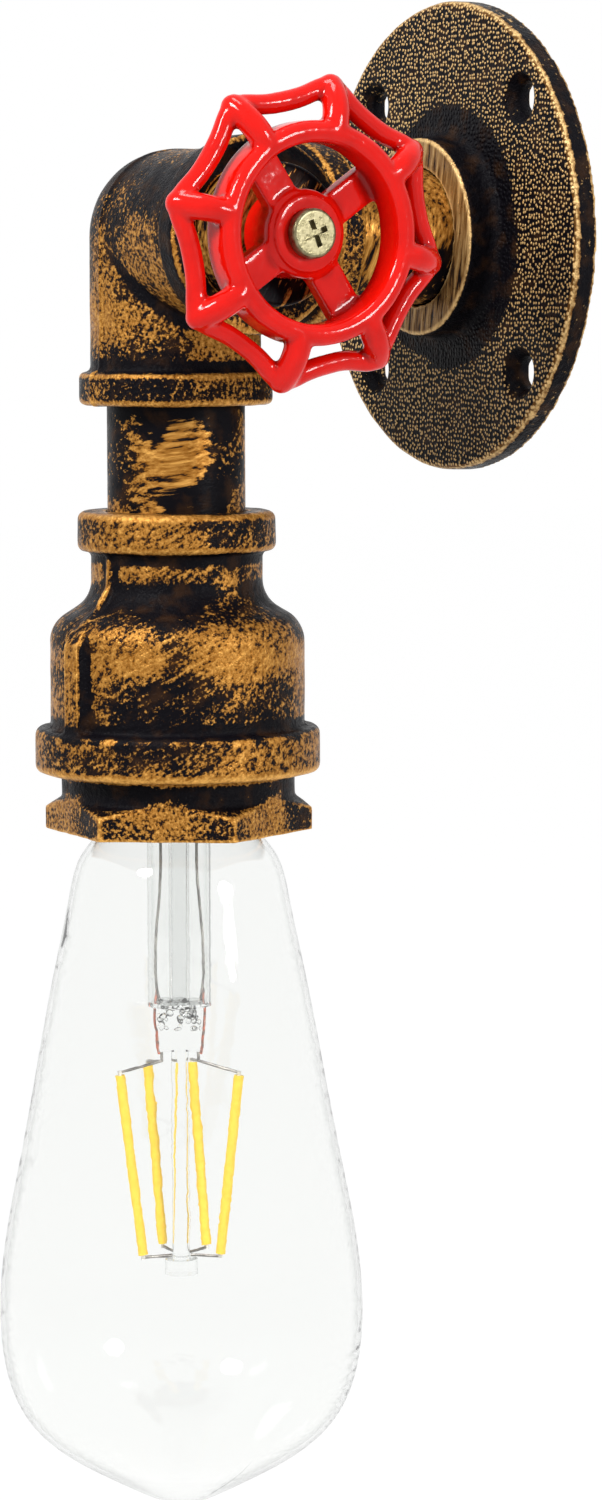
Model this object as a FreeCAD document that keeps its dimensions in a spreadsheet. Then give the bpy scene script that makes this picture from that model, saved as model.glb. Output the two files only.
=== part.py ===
"""Industrial pipe wall light: a floor flange, a pipe arm with a side outlet elbow and a red
handwheel, and a reducing coupling that holds a screw-in filament lamp.

Millimetres. The wall is the plane Y = 0 and the light stands out towards -Y, with +Z up. The
origin is the centre of the flange's back face, on the axis of the horizontal arm.
"""
import math
import os

import FreeCAD
import Part
import Sketcher
from FreeCAD import Placement, Rotation, Vector

doc = FreeCAD.newDocument("PipeWallLight")

# ---------------------------------------------------------------------------
# Driving dimensions
# ---------------------------------------------------------------------------
SIZES = [
    # pipe and its threads
    ("pipe_radius", 13.35),
    ("pipe_wall", 2.6),
    ("pipe_end_chamfer", 0.8),
    ("thread_gap", 0.2),
    ("thread_depth", 13.0),
    ("seat_gap", 0.3),
    ("nipple_setback", 2.0),
    ("cut_overshoot", 1.0),
    # floor flange
    ("flange_radius", 46.5),
    ("flange_plate", 4.9),
    ("flange_edge_round", 1.2),
    ("boss_radius", 19.8),
    ("boss_height", 6.8),
    ("boss_edge_round", 0.9),
    ("boss_root_round", 2.2),
    ("fixing_circle_radius", 37.5),
    ("fixing_hole_radius", 3.1),
    ("fixing_mouth_radius", 5.2),
    ("fixing_count", 4),
    ("fixing_first_angle", 45),
    # side outlet elbow
    ("arm_length", 66.5),
    ("elbow_reach", 32.4),
    ("elbow_radius", 16.6),
    ("elbow_bead_radius", 18.8),
    ("elbow_bead_width", 6.6),
    ("elbow_bead_round", 1.3),
    ("elbow_passage_radius", 11.2),
    # plug in the side outlet, and the wheel's screw
    ("plug_stand_out", 7.2),
    ("plug_edge_round", 0.8),
    ("stem_radius", 3.4),
    ("wheel_end_play", 0.2),
    ("screw_head_radius", 4.6),
    ("screw_head_thickness", 2.1),
    ("screw_head_round", 0.7),
    ("screw_shank_radius", 2.0),
    ("screw_shank_length", 14.0),
    ("screw_slot_length", 5.2),
    ("screw_slot_width", 1.1),
    ("screw_slot_depth", 1.3),
    ("screw_slot_angle", 22),
    # handwheel
    ("wheel_running_gap", 0.05),
    ("hub_radius", 8.3),
    ("hub_length", 10.2),
    ("hub_face_radius", 7.2),
    ("hub_face_step", 0.8),
    ("spoke_width", 6.8),
    ("spoke_thickness", 3.6),
    ("spoke_front_setback", 1.6),
    ("spoke_count", 4),
    ("ring_outer_radius", 20.6),
    ("ring_inner_radius", 16.4),
    ("ring_stand_forward", 5.1),
    ("ring_width", 8.4),
    ("ring_round", 1.9),
    ("lobe_count", 8),
    ("lobe_first_angle", 33.7),
    ("lobe_axis_radius", 27.2),
    ("lobe_setback", 6.3),
    ("arm_bar_radius", 2.6),
    ("arm_bar_rise", 1.5),
    ("rim_bar_radius", 2.0),
    ("rim_bar_sag", 0.8),
    # drop pipe and reducing coupling
    ("coupling_top", -52.6),
    ("coupling_small_rim_radius", 19.3),
    ("coupling_small_rim_width", 8.0),
    ("coupling_rim_round", 1.6),
    ("coupling_neck_radius", 16.7),
    ("coupling_neck_end", -69.4),
    ("coupling_body_start", -74.4),
    ("coupling_body_radius", 24.8),
    ("coupling_shoulder_round", 6.3),
    ("coupling_big_rim_stand", 3.0),
    ("coupling_big_rim_start", -94.4),
    ("coupling_bottom", -103.4),
    ("coupling_wall", 3.7),
    ("coupling_passage_radius", 11.75),
    ("coupling_ledge", 3.0),
    ("bell_bore_setback", 1.0),
    ("coupling_rib_width", 4.4),
    ("coupling_rib_stand", 1.9),
    ("coupling_rib_root", 3.0),
    ("coupling_rib_top", -73.8),
    ("coupling_rib_angle", -80),
    ("neck_rib_width", 1.4),
    ("neck_rib_stand", 0.7),
    ("neck_rib_root", 1.0),
    ("neck_rib_bend", -66.5),
    ("neck_rib_turn_radius", 20.4),
    ("neck_rib_turn", -71.0),
    ("neck_rib_foot_radius", 24.5),
    ("neck_rib_foot", -74.2),
    # hexagon bushing
    ("bushing_shank_top", -92.0),
    ("bushing_collar_radius", 22.8),
    ("hexagon_start", -108.0),
    ("hexagon_bottom", -114.9),
    ("hexagon_circumradius", 26.4),
    ("hexagon_chamfer_height", 3.0),
    ("hexagon_chamfer_radius", 22.4),
    ("hexagon_angle", -5.0),
    ("bushing_bore_radius", 16.6),
    ("bushing_mouth_radius", 19.9),
    ("bushing_mouth_depth", 7.0),
    # lampholder
    ("holder_top", -70.5),
    ("holder_crown_radius", 12.0),
    ("holder_shoulder", -78.5),
    ("holder_side_gap", 1.7),
    ("holder_skirt_radius", 16.2),
    ("holder_skirt_end", -104.0),
    ("holder_floor", -77.0),
    ("washer_thickness", 0.8),
    ("shell_wall", 0.5),
    ("shell_length", 21.0),
    ("shell_drop", 1.5),
    ("tongue_width", 5.0),
    ("tongue_reach", 3.0),
    ("tongue_tail", 7.0),
    ("tongue_thickness", 0.4),
    ("terminal_head_radius", 2.2),
    ("terminal_head_height", 1.4),
    ("terminal_shank_radius", 1.2),
    ("terminal_shank_length", 4.0),
    ("terminal_slot", 0.6),
    # leads
    ("lead_radius", 1.1),
    ("lead_spacing", 5.2),
    ("lead_bend_radius", 9.0),
    ("lead_start", 1.0),
    # lamp: cap
    ("lamp_seat", -78.1),
    ("cap_contact_radius", 4.7),
    ("cap_contact_height", 1.3),
    ("cap_insulator_height", 3.2),
    ("cap_radius", 13.15),
    ("cap_wall", 0.4),
    ("cap_length", 24.4),
    ("cap_contact_bevel", 1.0),
    ("cap_insulator_margin", 0.6),
    ("cap_crown_radius", 10.4),
    ("cap_crown_depth", 3.0),
    ("cap_crown_lip", 1.0),
    ("shell_gap", 0.25),
    # lamp: glass
    ("glass_wall", 0.9),
    ("glass_neck_radius", 13.9),
    ("glass_neck_drop", 110.5),
    ("glass_mouth_radius", 14.9),
    ("glass_mouth_drop", 114.0),
    ("glass_shoulder_radius", 19.0),
    ("glass_shoulder_drop", 119.8),
    ("glass_slope_radius", 21.5),
    ("glass_slope_drop", 128.0),
    ("glass_upper_radius", 24.6),
    ("glass_upper_drop", 143.0),
    ("glass_cone_radius", 31.2),
    ("glass_cone_drop", 178.0),
    ("glass_belly_radius", 35.7),
    ("glass_belly_drop", 211.0),
    ("glass_turn_radius", 30.4),
    ("glass_turn_drop", 231.3),
    ("glass_dip_radius", 16.2),
    ("glass_dip_drop", 242.2),
    ("glass_tip_radius", 8.5),
    ("glass_tip_drop", 246.4),
    ("glass_end_drop", 249.2),
    # lamp: inner mount
    ("stem_tube_radius", 6.2),
    ("stem_tube_wall", 0.7),
    ("stem_flare_radius", 12.4),
    ("stem_flare_drop", 7.0),
    ("stem_top_gap", 0.4),
    ("pinch_top", -149.5),
    ("pinch_bottom", -158.5),
    ("pinch_width", 8.4),
    ("pinch_thickness", 3.2),
    ("exhaust_tube_radius", 2.0),
    ("exhaust_tube_wall", 0.5),
    ("exhaust_tube_top", -112.0),
    ("mount_rod_radius", 1.7),
    ("mount_rod_bottom", -203.0),
    ("mount_button_radius", 3.2),
    ("mount_button_height", 3.0),
    ("support_wire_radius", 0.28),
    ("support_top", -160.6),
    ("filament_radius", 0.95),
    ("filament_top", -163.0),
    ("filament_bottom", -198.6),
    ("filament_top_spread", 12.0),
    ("filament_bottom_spread", 8.0),
    ("filament_head_one", 43),
    ("filament_head_two", 139),
    ("filament_head_three", 183),
    ("filament_head_four", 253),
    ("filament_foot_one", 45),
    ("filament_foot_two", 112),
    ("filament_foot_three", 178),
    ("filament_foot_four", 262),
    ("mount_angle", 59),
    ("inner_lead_radius", 0.28),
    ("inner_lead_offset", 4.1),
    ("inner_lead_sway", 0.6),
    ("inner_lead_twist", 26),
    ("inner_lead_bends", 5),
    ("board_radius", 9.6),
    ("board_thickness", 1.2),
    ("board_drop", 12.5),
    ("capacitor_radius", 3.1),
    ("capacitor_height", 7.0),
]

sheet = doc.addObject("Spreadsheet::Sheet", "Sizes")
for row, (alias, number) in enumerate(SIZES, start=1):
    sheet.set("A%d" % row, alias)
    sheet.set("B%d" % row, str(number))
    sheet.setAlias("B%d" % row, alias)
doc.recompute()

FINISHED = []
X_AXIS = Vector(1, 0, 0)
Z_AXIS = Vector(0, 0, 1)


def size(alias):
    """The value of one driving dimension."""
    return float(sheet.get(alias))


def worked_out(formula):
    """The value of a formula over the driving dimensions."""
    return float(doc.getObject("Sizes").evalExpression(in_sheet(formula)))


def in_sheet(formula):
    """The formula as the sheet itself would read it."""
    return str(formula).replace("Sizes.", "")


def named(thing, label, placement=None):
    """Give a finished sub-part its label and place, and list it for export."""
    thing.Label = label
    if placement is not None:
        thing.Placement = placement
    FINISHED.append(thing)
    return thing


def along(direction, start):
    """The place of a piece made on +Z, turned to a direction and moved to a start point."""
    return Placement(start, Rotation(Z_AXIS, direction))


def tidy_name(label):
    """A label as a document name."""
    return "".join(word.capitalize() for word in label.split("_"))


def origin_plane(body, role):
    """One of a body's own origin planes or axes."""
    return [feature for feature in body.Origin.OriginFeatures if feature.Role == role][0]


def sketch_on(body, name, role):
    """An empty sketch on one of a body's origin planes."""
    sketch = body.newObject("Sketcher::SketchObject", name)
    sketch.AttachmentSupport = [(origin_plane(body, role), "")]
    sketch.MapMode = "FlatFace"
    return sketch


def closed_outline(sketch, corners):
    """Draw a closed polygon whose corners are formulas over the sheet."""
    points = [Vector(worked_out(across), worked_out(up), 0) for across, up in corners]
    count = len(points)
    for index in range(count):
        sketch.addGeometry(Part.LineSegment(points[index], points[(index + 1) % count]), False)
    for index in range(count):
        following = (index + 1) % count
        sketch.addConstraint(Sketcher.Constraint("Coincident", index, 2, following, 1))
    for index, (across, up) in enumerate(corners):
        pin_down(sketch, index, "DistanceX", across, points[index].x)
        pin_down(sketch, index, "DistanceY", up, points[index].y)


def pin_down(sketch, line, kind, formula, value):
    """Tie one coordinate of a line's start to a formula."""
    if abs(value) < 1e-9:
        on_axis = -2 if kind == "DistanceX" else -1
        sketch.addConstraint(Sketcher.Constraint("PointOnObject", line, 1, on_axis))
        return
    if value > 0:
        number = sketch.addConstraint(Sketcher.Constraint(kind, -1, 1, line, 1, value))
        sketch.setExpression("Constraints[%d]" % number, str(formula))
        return
    number = sketch.addConstraint(Sketcher.Constraint(kind, line, 1, -1, 1, -value))
    sketch.setExpression("Constraints[%d]" % number, "-(%s)" % formula)


def turned(label, corners):
    """A body turned about Z from an outline of (radius, height) corners."""
    body = doc.addObject("PartDesign::Body", tidy_name(label))
    sketch = sketch_on(body, tidy_name(label) + "Outline", "XZ_Plane")
    closed_outline(sketch, corners)
    turning = body.newObject("PartDesign::Revolution", tidy_name(label) + "Turning")
    turning.Profile = sketch
    turning.ReferenceAxis = (sketch, ["V_Axis"])
    turning.Angle = 360
    doc.recompute()
    return body


def round_edges(body, rings, radius):
    """Round the circular edges at the given (radius, height) corners of a turned body."""
    base = body.Tip
    wanted = [(worked_out(ring), worked_out(height)) for ring, height in rings]
    names = []
    for index, edge in enumerate(base.Shape.Edges, start=1):
        curve = edge.Curve
        if not hasattr(curve, "Radius"):
            continue
        for ring, height in wanted:
            if abs(curve.Radius - ring) < 1e-4 and abs(curve.Center.z - height) < 1e-4:
                names.append("Edge%d" % index)
    fillet = body.newObject("PartDesign::Fillet", body.Name + "Round%d" % len(body.Group))
    fillet.Base = (base, names)
    fillet.Radius = worked_out(radius)
    fillet.setExpression("Radius", radius)
    doc.recompute()
    return fillet


def primitive(kind, name, formulas, placement):
    """A Part primitive with its sizes tied to formulas."""
    thing = doc.addObject(kind, name)
    for key, formula in formulas.items():
        thing.setExpression(key, formula)
    thing.Placement = placement
    return thing


def joined(name, pieces):
    """One solid fused from several."""
    fuse = doc.addObject("Part::MultiFuse", name)
    fuse.Shapes = pieces
    return fuse


def cut_from(name, base, tool):
    """A solid with another cut out of it."""
    cut = doc.addObject("Part::Cut", name)
    cut.Base = base
    cut.Tool = tool
    return cut


def shaped(label, shape):
    """A sub-part whose solid is worked out in code."""
    feature = doc.addObject("Part::Feature", tidy_name(label))
    feature.Shape = shape
    return named(feature, label)


def pipe_run(label, start, end):
    """A plain pipe nipple about Z between two heights, with its outer ends chamfered."""
    return turned(label, [
        ("Sizes.pipe_radius - Sizes.pipe_wall", start),
        ("Sizes.pipe_radius - Sizes.pipe_end_chamfer", start),
        ("Sizes.pipe_radius", "%s + Sizes.pipe_end_chamfer" % start),
        ("Sizes.pipe_radius", "%s - Sizes.pipe_end_chamfer" % end),
        ("Sizes.pipe_radius - Sizes.pipe_end_chamfer", end),
        ("Sizes.pipe_radius - Sizes.pipe_wall", end),
    ])


# Places that several pieces share
ARM = size("arm_length")
CORNER = Vector(0, -ARM, 0)
LAMP_AXIS = CORNER
OUTWARD = Vector(0, -1, 0)
DOWNWARD = Vector(0, 0, -1)
THREAD_RADIUS = "Sizes.pipe_radius + Sizes.thread_gap"
FLANGE_FRONT = "Sizes.flange_plate + Sizes.boss_height"
PLUG_END = size("elbow_reach") + size("plug_stand_out")


# ---------------------------------------------------------------------------
# Floor flange
# ---------------------------------------------------------------------------
def make_floor_flange():
    """The round wall plate with its threaded boss and four countersunk fixing holes."""
    body = turned("floor_flange", [
        (THREAD_RADIUS, "0"),
        ("Sizes.flange_radius", "0"),
        ("Sizes.flange_radius", "Sizes.flange_plate"),
        ("Sizes.boss_radius", "Sizes.flange_plate"),
        ("Sizes.boss_radius", FLANGE_FRONT),
        (THREAD_RADIUS, FLANGE_FRONT),
    ])
    round_edges(body, [("Sizes.flange_radius", "Sizes.flange_plate")], "Sizes.flange_edge_round")
    round_edges(body, [("Sizes.boss_radius", FLANGE_FRONT)], "Sizes.boss_edge_round")
    round_edges(body, [("Sizes.boss_radius", "Sizes.flange_plate")], "Sizes.boss_root_round")
    centres = sketch_on(body, "FixingCentres", "XY_Plane")
    centres.setExpression("AttachmentOffset.Base.z", "Sizes.flange_plate")
    angle = math.radians(size("fixing_first_angle"))
    reach = size("fixing_circle_radius")
    centre = Vector(reach * math.cos(angle), reach * math.sin(angle), 0)
    centres.addGeometry(Part.Circle(centre, Z_AXIS, size("fixing_hole_radius")), False)
    radius = centres.addConstraint(Sketcher.Constraint("Radius", 0, size("fixing_hole_radius")))
    centres.setExpression("Constraints[%d]" % radius, "Sizes.fixing_hole_radius")
    for kind, turn in (("DistanceX", "cos"), ("DistanceY", "sin")):
        value = centre.x if kind == "DistanceX" else centre.y
        number = centres.addConstraint(Sketcher.Constraint(kind, -1, 1, 0, 3, value))
        formula = "Sizes.fixing_circle_radius * %s(Sizes.fixing_first_angle * 1 deg)" % turn
        centres.setExpression("Constraints[%d]" % number, formula)
    doc.recompute()
    hole = body.newObject("PartDesign::Hole", "FixingHole")
    hole.Profile = centres
    doc.recompute()
    hole.DepthType = "ThroughAll"
    hole.setExpression("Diameter", "2 * Sizes.fixing_hole_radius")
    hole.HoleCutType = "Countersink"
    hole.HoleCutCustomValues = True
    hole.setExpression("HoleCutDiameter", "2 * Sizes.fixing_mouth_radius")
    hole.HoleCutCountersinkAngle = 90
    doc.recompute()
    ring = body.newObject("PartDesign::PolarPattern", "FixingHoles")
    ring.Originals = [hole]
    ring.Axis = (centres, ["N_Axis"])
    ring.Angle = 360
    ring.setExpression("Occurrences", "Sizes.fixing_count")
    body.Tip = ring
    named(body, "floor_flange", along(OUTWARD, Vector(0, 0, 0)))


def make_wall_nipple():
    """The horizontal pipe between the flange and the elbow."""
    end = "(Sizes.arm_length - Sizes.elbow_reach + Sizes.thread_depth)"
    body = pipe_run("wall_nipple", "Sizes.nipple_setback", end)
    named(body, "wall_nipple", along(OUTWARD, Vector(0, 0, 0)))


# ---------------------------------------------------------------------------
# Side outlet elbow
# ---------------------------------------------------------------------------
def elbow_leg(name, direction):
    """One leg of the elbow, solid, with its rounded bead at the mouth."""
    body = turned(name, [
        ("0", "0"),
        ("Sizes.elbow_radius", "0"),
        ("Sizes.elbow_radius", "Sizes.elbow_reach - Sizes.elbow_bead_width"),
        ("Sizes.elbow_bead_radius", "Sizes.elbow_reach - Sizes.elbow_bead_width"),
        ("Sizes.elbow_bead_radius", "Sizes.elbow_reach"),
        ("0", "Sizes.elbow_reach"),
    ])
    beads = [
        ("Sizes.elbow_bead_radius", "Sizes.elbow_reach - Sizes.elbow_bead_width"),
        ("Sizes.elbow_bead_radius", "Sizes.elbow_reach"),
    ]
    round_edges(body, beads, "Sizes.elbow_bead_round")
    body.Placement = along(direction, CORNER)
    return body


def make_side_outlet_elbow():
    """The three-way casting: one socket to the wall, one down, and the side outlet."""
    directions = {"Wall": Vector(0, 1, 0), "Drop": DOWNWARD, "Side": X_AXIS}
    outer = [elbow_leg("elbow_leg_" + name.lower(), way) for name, way in directions.items()]
    centre = Placement(CORNER, Rotation())
    outer.append(primitive("Part::Sphere", "ElbowBall", {"Radius": "Sizes.elbow_radius"}, centre))
    hollow = {"Radius": "Sizes.elbow_passage_radius"}
    inner = [primitive("Part::Sphere", "ElbowHollow", hollow, centre)]
    for name, way in directions.items():
        socket = {
            "Radius": THREAD_RADIUS,
            "Height": "Sizes.thread_depth + Sizes.seat_gap + Sizes.cut_overshoot",
        }
        start = CORNER + way * (size("elbow_reach") - size("thread_depth") - size("seat_gap"))
        inner.append(primitive("Part::Cylinder", "ElbowSocket" + name, socket, along(way, start)))
        passage = {"Radius": "Sizes.elbow_passage_radius", "Height": "Sizes.elbow_reach"}
        inner.append(primitive("Part::Cylinder", "ElbowPassage" + name, passage, along(way, CORNER)))
    solid = joined("ElbowCasting", outer)
    inside = joined("ElbowInside", inner)
    doc.recompute()
    named(cut_from("SideOutletElbow", solid, inside), "side_outlet_elbow")


def make_outlet_plug():
    """The plug in the side outlet, with the stem that carries the handwheel."""
    stand = "Sizes.elbow_reach + Sizes.plug_stand_out"
    stem_end = stand + " + Sizes.seat_gap + Sizes.hub_length + Sizes.wheel_end_play"
    tapped = "(Sizes.screw_shank_radius + Sizes.thread_gap)"
    body = turned("outlet_plug", [
        ("0", "Sizes.elbow_reach - Sizes.thread_depth"),
        ("Sizes.pipe_radius", "Sizes.elbow_reach - Sizes.thread_depth"),
        ("Sizes.pipe_radius", stand),
        ("Sizes.stem_radius", stand),
        ("Sizes.stem_radius", stem_end),
        (tapped, stem_end),
        (tapped, stem_end + " - Sizes.screw_shank_length - Sizes.seat_gap"),
        ("0", stem_end + " - Sizes.screw_shank_length - Sizes.seat_gap"),
    ])
    round_edges(body, [("Sizes.pipe_radius", stand)], "Sizes.plug_edge_round")
    named(body, "outlet_plug", along(X_AXIS, CORNER))


def make_wheel_screw():
    """The cross-headed screw that keeps the handwheel on its stem."""
    body = turned("wheel_screw", [
        ("0", "-Sizes.screw_shank_length"),
        ("Sizes.screw_shank_radius", "-Sizes.screw_shank_length"),
        ("Sizes.screw_shank_radius", "0"),
        ("Sizes.screw_head_radius", "0"),
        ("Sizes.screw_head_radius", "Sizes.screw_head_thickness"),
        ("0", "Sizes.screw_head_thickness"),
    ])
    rim = [("Sizes.screw_head_radius", "Sizes.screw_head_thickness")]
    round_edges(body, rim, "Sizes.screw_head_round")
    long_side = "Sizes.screw_slot_length / 2"
    short_side = "Sizes.screw_slot_width / 2"
    cross = [
        (long_side, short_side), (short_side, short_side), (short_side, long_side),
        ("-" + short_side, long_side), ("-" + short_side, short_side), ("-" + long_side, short_side),
        ("-" + long_side, "-" + short_side), ("-" + short_side, "-" + short_side),
        ("-" + short_side, "-" + long_side), (short_side, "-" + long_side),
        (short_side, "-" + short_side), (long_side, "-" + short_side),
    ]
    sketch = sketch_on(body, "CrossRecess", "XY_Plane")
    sketch.setExpression("AttachmentOffset.Base.z", "Sizes.screw_head_thickness")
    closed_outline(sketch, cross)
    doc.recompute()
    recess = body.newObject("PartDesign::Pocket", "CrossPocket")
    recess.Profile = sketch
    recess.setExpression("Length", "Sizes.screw_slot_depth")
    doc.recompute()
    reach = PLUG_END + size("seat_gap") + size("hub_length") + size("wheel_end_play")
    turn = Rotation(X_AXIS, size("screw_slot_angle"))
    place = Placement(CORNER + X_AXIS * reach, turn.multiply(Rotation(Z_AXIS, X_AXIS)))
    named(body, "wheel_screw", place)


# ---------------------------------------------------------------------------
# Handwheel
# ---------------------------------------------------------------------------
def ring_solid(inner, outer, start, length, rounding):
    """A ring about Z with its circular edges rounded."""
    ring = Part.makeCylinder(outer, length, Vector(0, 0, start))
    ring = ring.cut(Part.makeCylinder(inner, length, Vector(0, 0, start)))
    circles = [edge for edge in ring.Edges if hasattr(edge.Curve, "Radius")]
    return ring.makeFillet(rounding, circles)


def bar(points, radius, closed=False):
    """A round bar along a smooth curve through points, which can close on itself."""
    curve = Part.BSplineCurve()
    curve.interpolate(Points=points, PeriodicFlag=closed)
    tangent = curve.tangent(curve.FirstParameter)[0]
    section = Part.Wire(Part.makeCircle(radius, points[0], tangent))
    return Part.Wire(curve.toShape()).makePipeShell([section], True, False)


def on_wheel(radius, angle, height):
    """A point of the wheel from its polar place and its height along the axis."""
    turn = math.radians(angle)
    return Vector(radius * math.cos(turn), radius * math.sin(turn), height)


def make_handwheel():
    """The cast wheel: hub, four spokes, raised inner ring, eight arching arms and a lobed rim."""
    length = size("hub_length")
    front = length + size("ring_stand_forward")
    step = size("hub_face_step")
    hub = Part.makeCylinder(size("hub_radius"), length - step)
    hub = hub.fuse(Part.makeCylinder(size("hub_face_radius"), length))
    inner, outer = size("ring_inner_radius"), size("ring_outer_radius")
    ring = ring_solid(inner, outer, front - size("ring_width"), size("ring_width"), size("ring_round"))
    solids = [ring]
    spoke_front = length - size("spoke_front_setback")
    for number in range(int(size("spoke_count"))):
        spoke = Part.makeBox(
            (inner + outer) / 2, size("spoke_width"), size("spoke_thickness"),
            Vector(0, -size("spoke_width") / 2, spoke_front - size("spoke_thickness")))
        angle = size("lobe_first_angle") + number * 360 / size("spoke_count")
        spoke.rotate(Vector(0, 0, 0), Z_AXIS, angle)
        solids.append(spoke)
    lobes = int(size("lobe_count"))
    pitch = 360 / lobes
    tip_height = front - size("lobe_setback")
    start_radius = (inner + outer) / 2
    middle_radius = (start_radius + size("lobe_axis_radius")) / 2
    bar_height = front - size("arm_bar_radius")
    rim_middle = size("lobe_axis_radius") * math.cos(math.radians(pitch / 2)) - size("rim_bar_sag")
    rim = []
    for number in range(lobes):
        angle = size("lobe_first_angle") + number * pitch
        arch = [
            on_wheel(start_radius, angle, bar_height),
            on_wheel(middle_radius, angle, (bar_height + tip_height) / 2 + size("arm_bar_rise")),
            on_wheel(size("lobe_axis_radius"), angle, tip_height),
        ]
        solids.append(bar(arch, size("arm_bar_radius")))
        solids.append(Part.makeSphere(size("arm_bar_radius"), arch[-1]))
        tip = arch[-1]
        middle = on_wheel(rim_middle, angle + pitch / 2, tip_height)
        following = on_wheel(size("lobe_axis_radius"), angle + pitch, tip_height)
        rim += [tip, (tip + middle) / 2, middle, (middle + following) / 2]
    solids.append(bar(rim, size("rim_bar_radius"), closed=True))
    wheel = hub.multiFuse(solids)
    overshoot = size("cut_overshoot")
    bore = Part.makeCylinder(size("stem_radius") + size("wheel_running_gap"),
                             length + 2 * overshoot, Vector(0, 0, -overshoot))
    wheel = wheel.cut(bore).removeSplitter()
    feature = shaped("handwheel", wheel)
    feature.Placement = along(X_AXIS, CORNER + X_AXIS * (PLUG_END + size("seat_gap")))


# ---------------------------------------------------------------------------
# Drop pipe, reducing coupling and hexagon bushing
# ---------------------------------------------------------------------------
def make_drop_nipple():
    """The vertical pipe between the elbow and the coupling."""
    start = "(Sizes.elbow_reach - Sizes.thread_depth)"
    end = "(Sizes.thread_depth - Sizes.coupling_top)"
    body = pipe_run("drop_nipple", start, end)
    named(body, "drop_nipple", along(DOWNWARD, LAMP_AXIS))


def make_reducing_coupling():
    """The bell-shaped coupling, banded at both mouths, with a rib down each side."""
    socket_floor = "Sizes.coupling_top - Sizes.thread_depth - Sizes.seat_gap"
    bell_bore = "Sizes.coupling_body_radius - Sizes.coupling_wall"
    big_rim = "Sizes.coupling_body_radius + Sizes.coupling_big_rim_stand"
    neck_rim_end = "Sizes.coupling_top - Sizes.coupling_small_rim_width"
    body = turned("reducing_coupling", [
        (THREAD_RADIUS, "Sizes.coupling_top"),
        ("Sizes.coupling_small_rim_radius", "Sizes.coupling_top"),
        ("Sizes.coupling_small_rim_radius", neck_rim_end),
        ("Sizes.coupling_neck_radius", neck_rim_end),
        ("Sizes.coupling_neck_radius", "Sizes.coupling_neck_end"),
        ("Sizes.coupling_body_radius", "Sizes.coupling_body_start"),
        ("Sizes.coupling_body_radius", "Sizes.coupling_big_rim_start"),
        (big_rim, "Sizes.coupling_big_rim_start"),
        (big_rim, "Sizes.coupling_bottom"),
        (bell_bore, "Sizes.coupling_bottom"),
        (bell_bore, "Sizes.coupling_body_start - Sizes.bell_bore_setback"),
        ("Sizes.coupling_passage_radius", socket_floor + " - Sizes.coupling_ledge"),
        ("Sizes.coupling_passage_radius", socket_floor),
        (THREAD_RADIUS, socket_floor),
    ])
    rims = [
        ("Sizes.coupling_small_rim_radius", "Sizes.coupling_top"),
        ("Sizes.coupling_small_rim_radius", neck_rim_end),
        (big_rim, "Sizes.coupling_big_rim_start"),
        (big_rim, "Sizes.coupling_bottom"),
    ]
    round_edges(body, rims, "Sizes.coupling_rim_round")
    shoulder = [
        ("Sizes.coupling_body_radius", "Sizes.coupling_body_start"),
        ("Sizes.coupling_neck_radius", "Sizes.coupling_neck_end"),
    ]
    round_edges(body, shoulder, "Sizes.coupling_shoulder_round")
    rib_back = "Sizes.coupling_body_radius - Sizes.coupling_rib_root"
    rib_face = "Sizes.coupling_body_radius + Sizes.coupling_rib_stand"
    rib_foot = "Sizes.coupling_big_rim_start - Sizes.cut_overshoot"
    add_rib(body, "BellRib", "Sizes.coupling_rib_width", [
        (rib_back, "Sizes.coupling_rib_top"),
        ("Sizes.coupling_body_radius", "Sizes.coupling_rib_top - Sizes.coupling_rib_stand / 2"),
        (rib_face, "Sizes.coupling_rib_top - 2 * Sizes.coupling_rib_stand"),
        (rib_face, rib_foot),
        (rib_back, rib_foot),
    ])
    ridge_top = neck_rim_end + " + Sizes.cut_overshoot"
    ridge_back = "Sizes.coupling_neck_radius - Sizes.neck_rib_root"
    ridge_face = "Sizes.coupling_neck_radius + Sizes.neck_rib_stand"
    add_rib(body, "NeckRib", "Sizes.neck_rib_width", [
        (ridge_back, ridge_top),
        (ridge_face, ridge_top),
        (ridge_face, "Sizes.neck_rib_bend"),
        ("Sizes.neck_rib_turn_radius", "Sizes.neck_rib_turn"),
        ("Sizes.neck_rib_foot_radius", "Sizes.neck_rib_foot"),
        ("Sizes.neck_rib_turn_radius", "Sizes.neck_rib_foot"),
        (ridge_back, "Sizes.neck_rib_bend"),
    ])
    place = Placement(LAMP_AXIS, Rotation(Z_AXIS, size("coupling_rib_angle")))
    named(body, "reducing_coupling", place)


def add_rib(body, name, width, corners):
    """A rib on one side of a turned body, with its twin on the other side."""
    sketch = sketch_on(body, name + "Outline", "XZ_Plane")
    closed_outline(sketch, corners)
    doc.recompute()
    rib = body.newObject("PartDesign::Pad", name)
    rib.Profile = sketch
    rib.setExpression("Length", width)
    rib.Midplane = True
    doc.recompute()
    pair = body.newObject("PartDesign::PolarPattern", name + "Pair")
    pair.Originals = [rib]
    pair.Axis = (origin_plane(body, "Z_Axis"), [""])
    pair.Angle = 360
    pair.Occurrences = 2
    body.Tip = pair
    doc.recompute()


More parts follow.
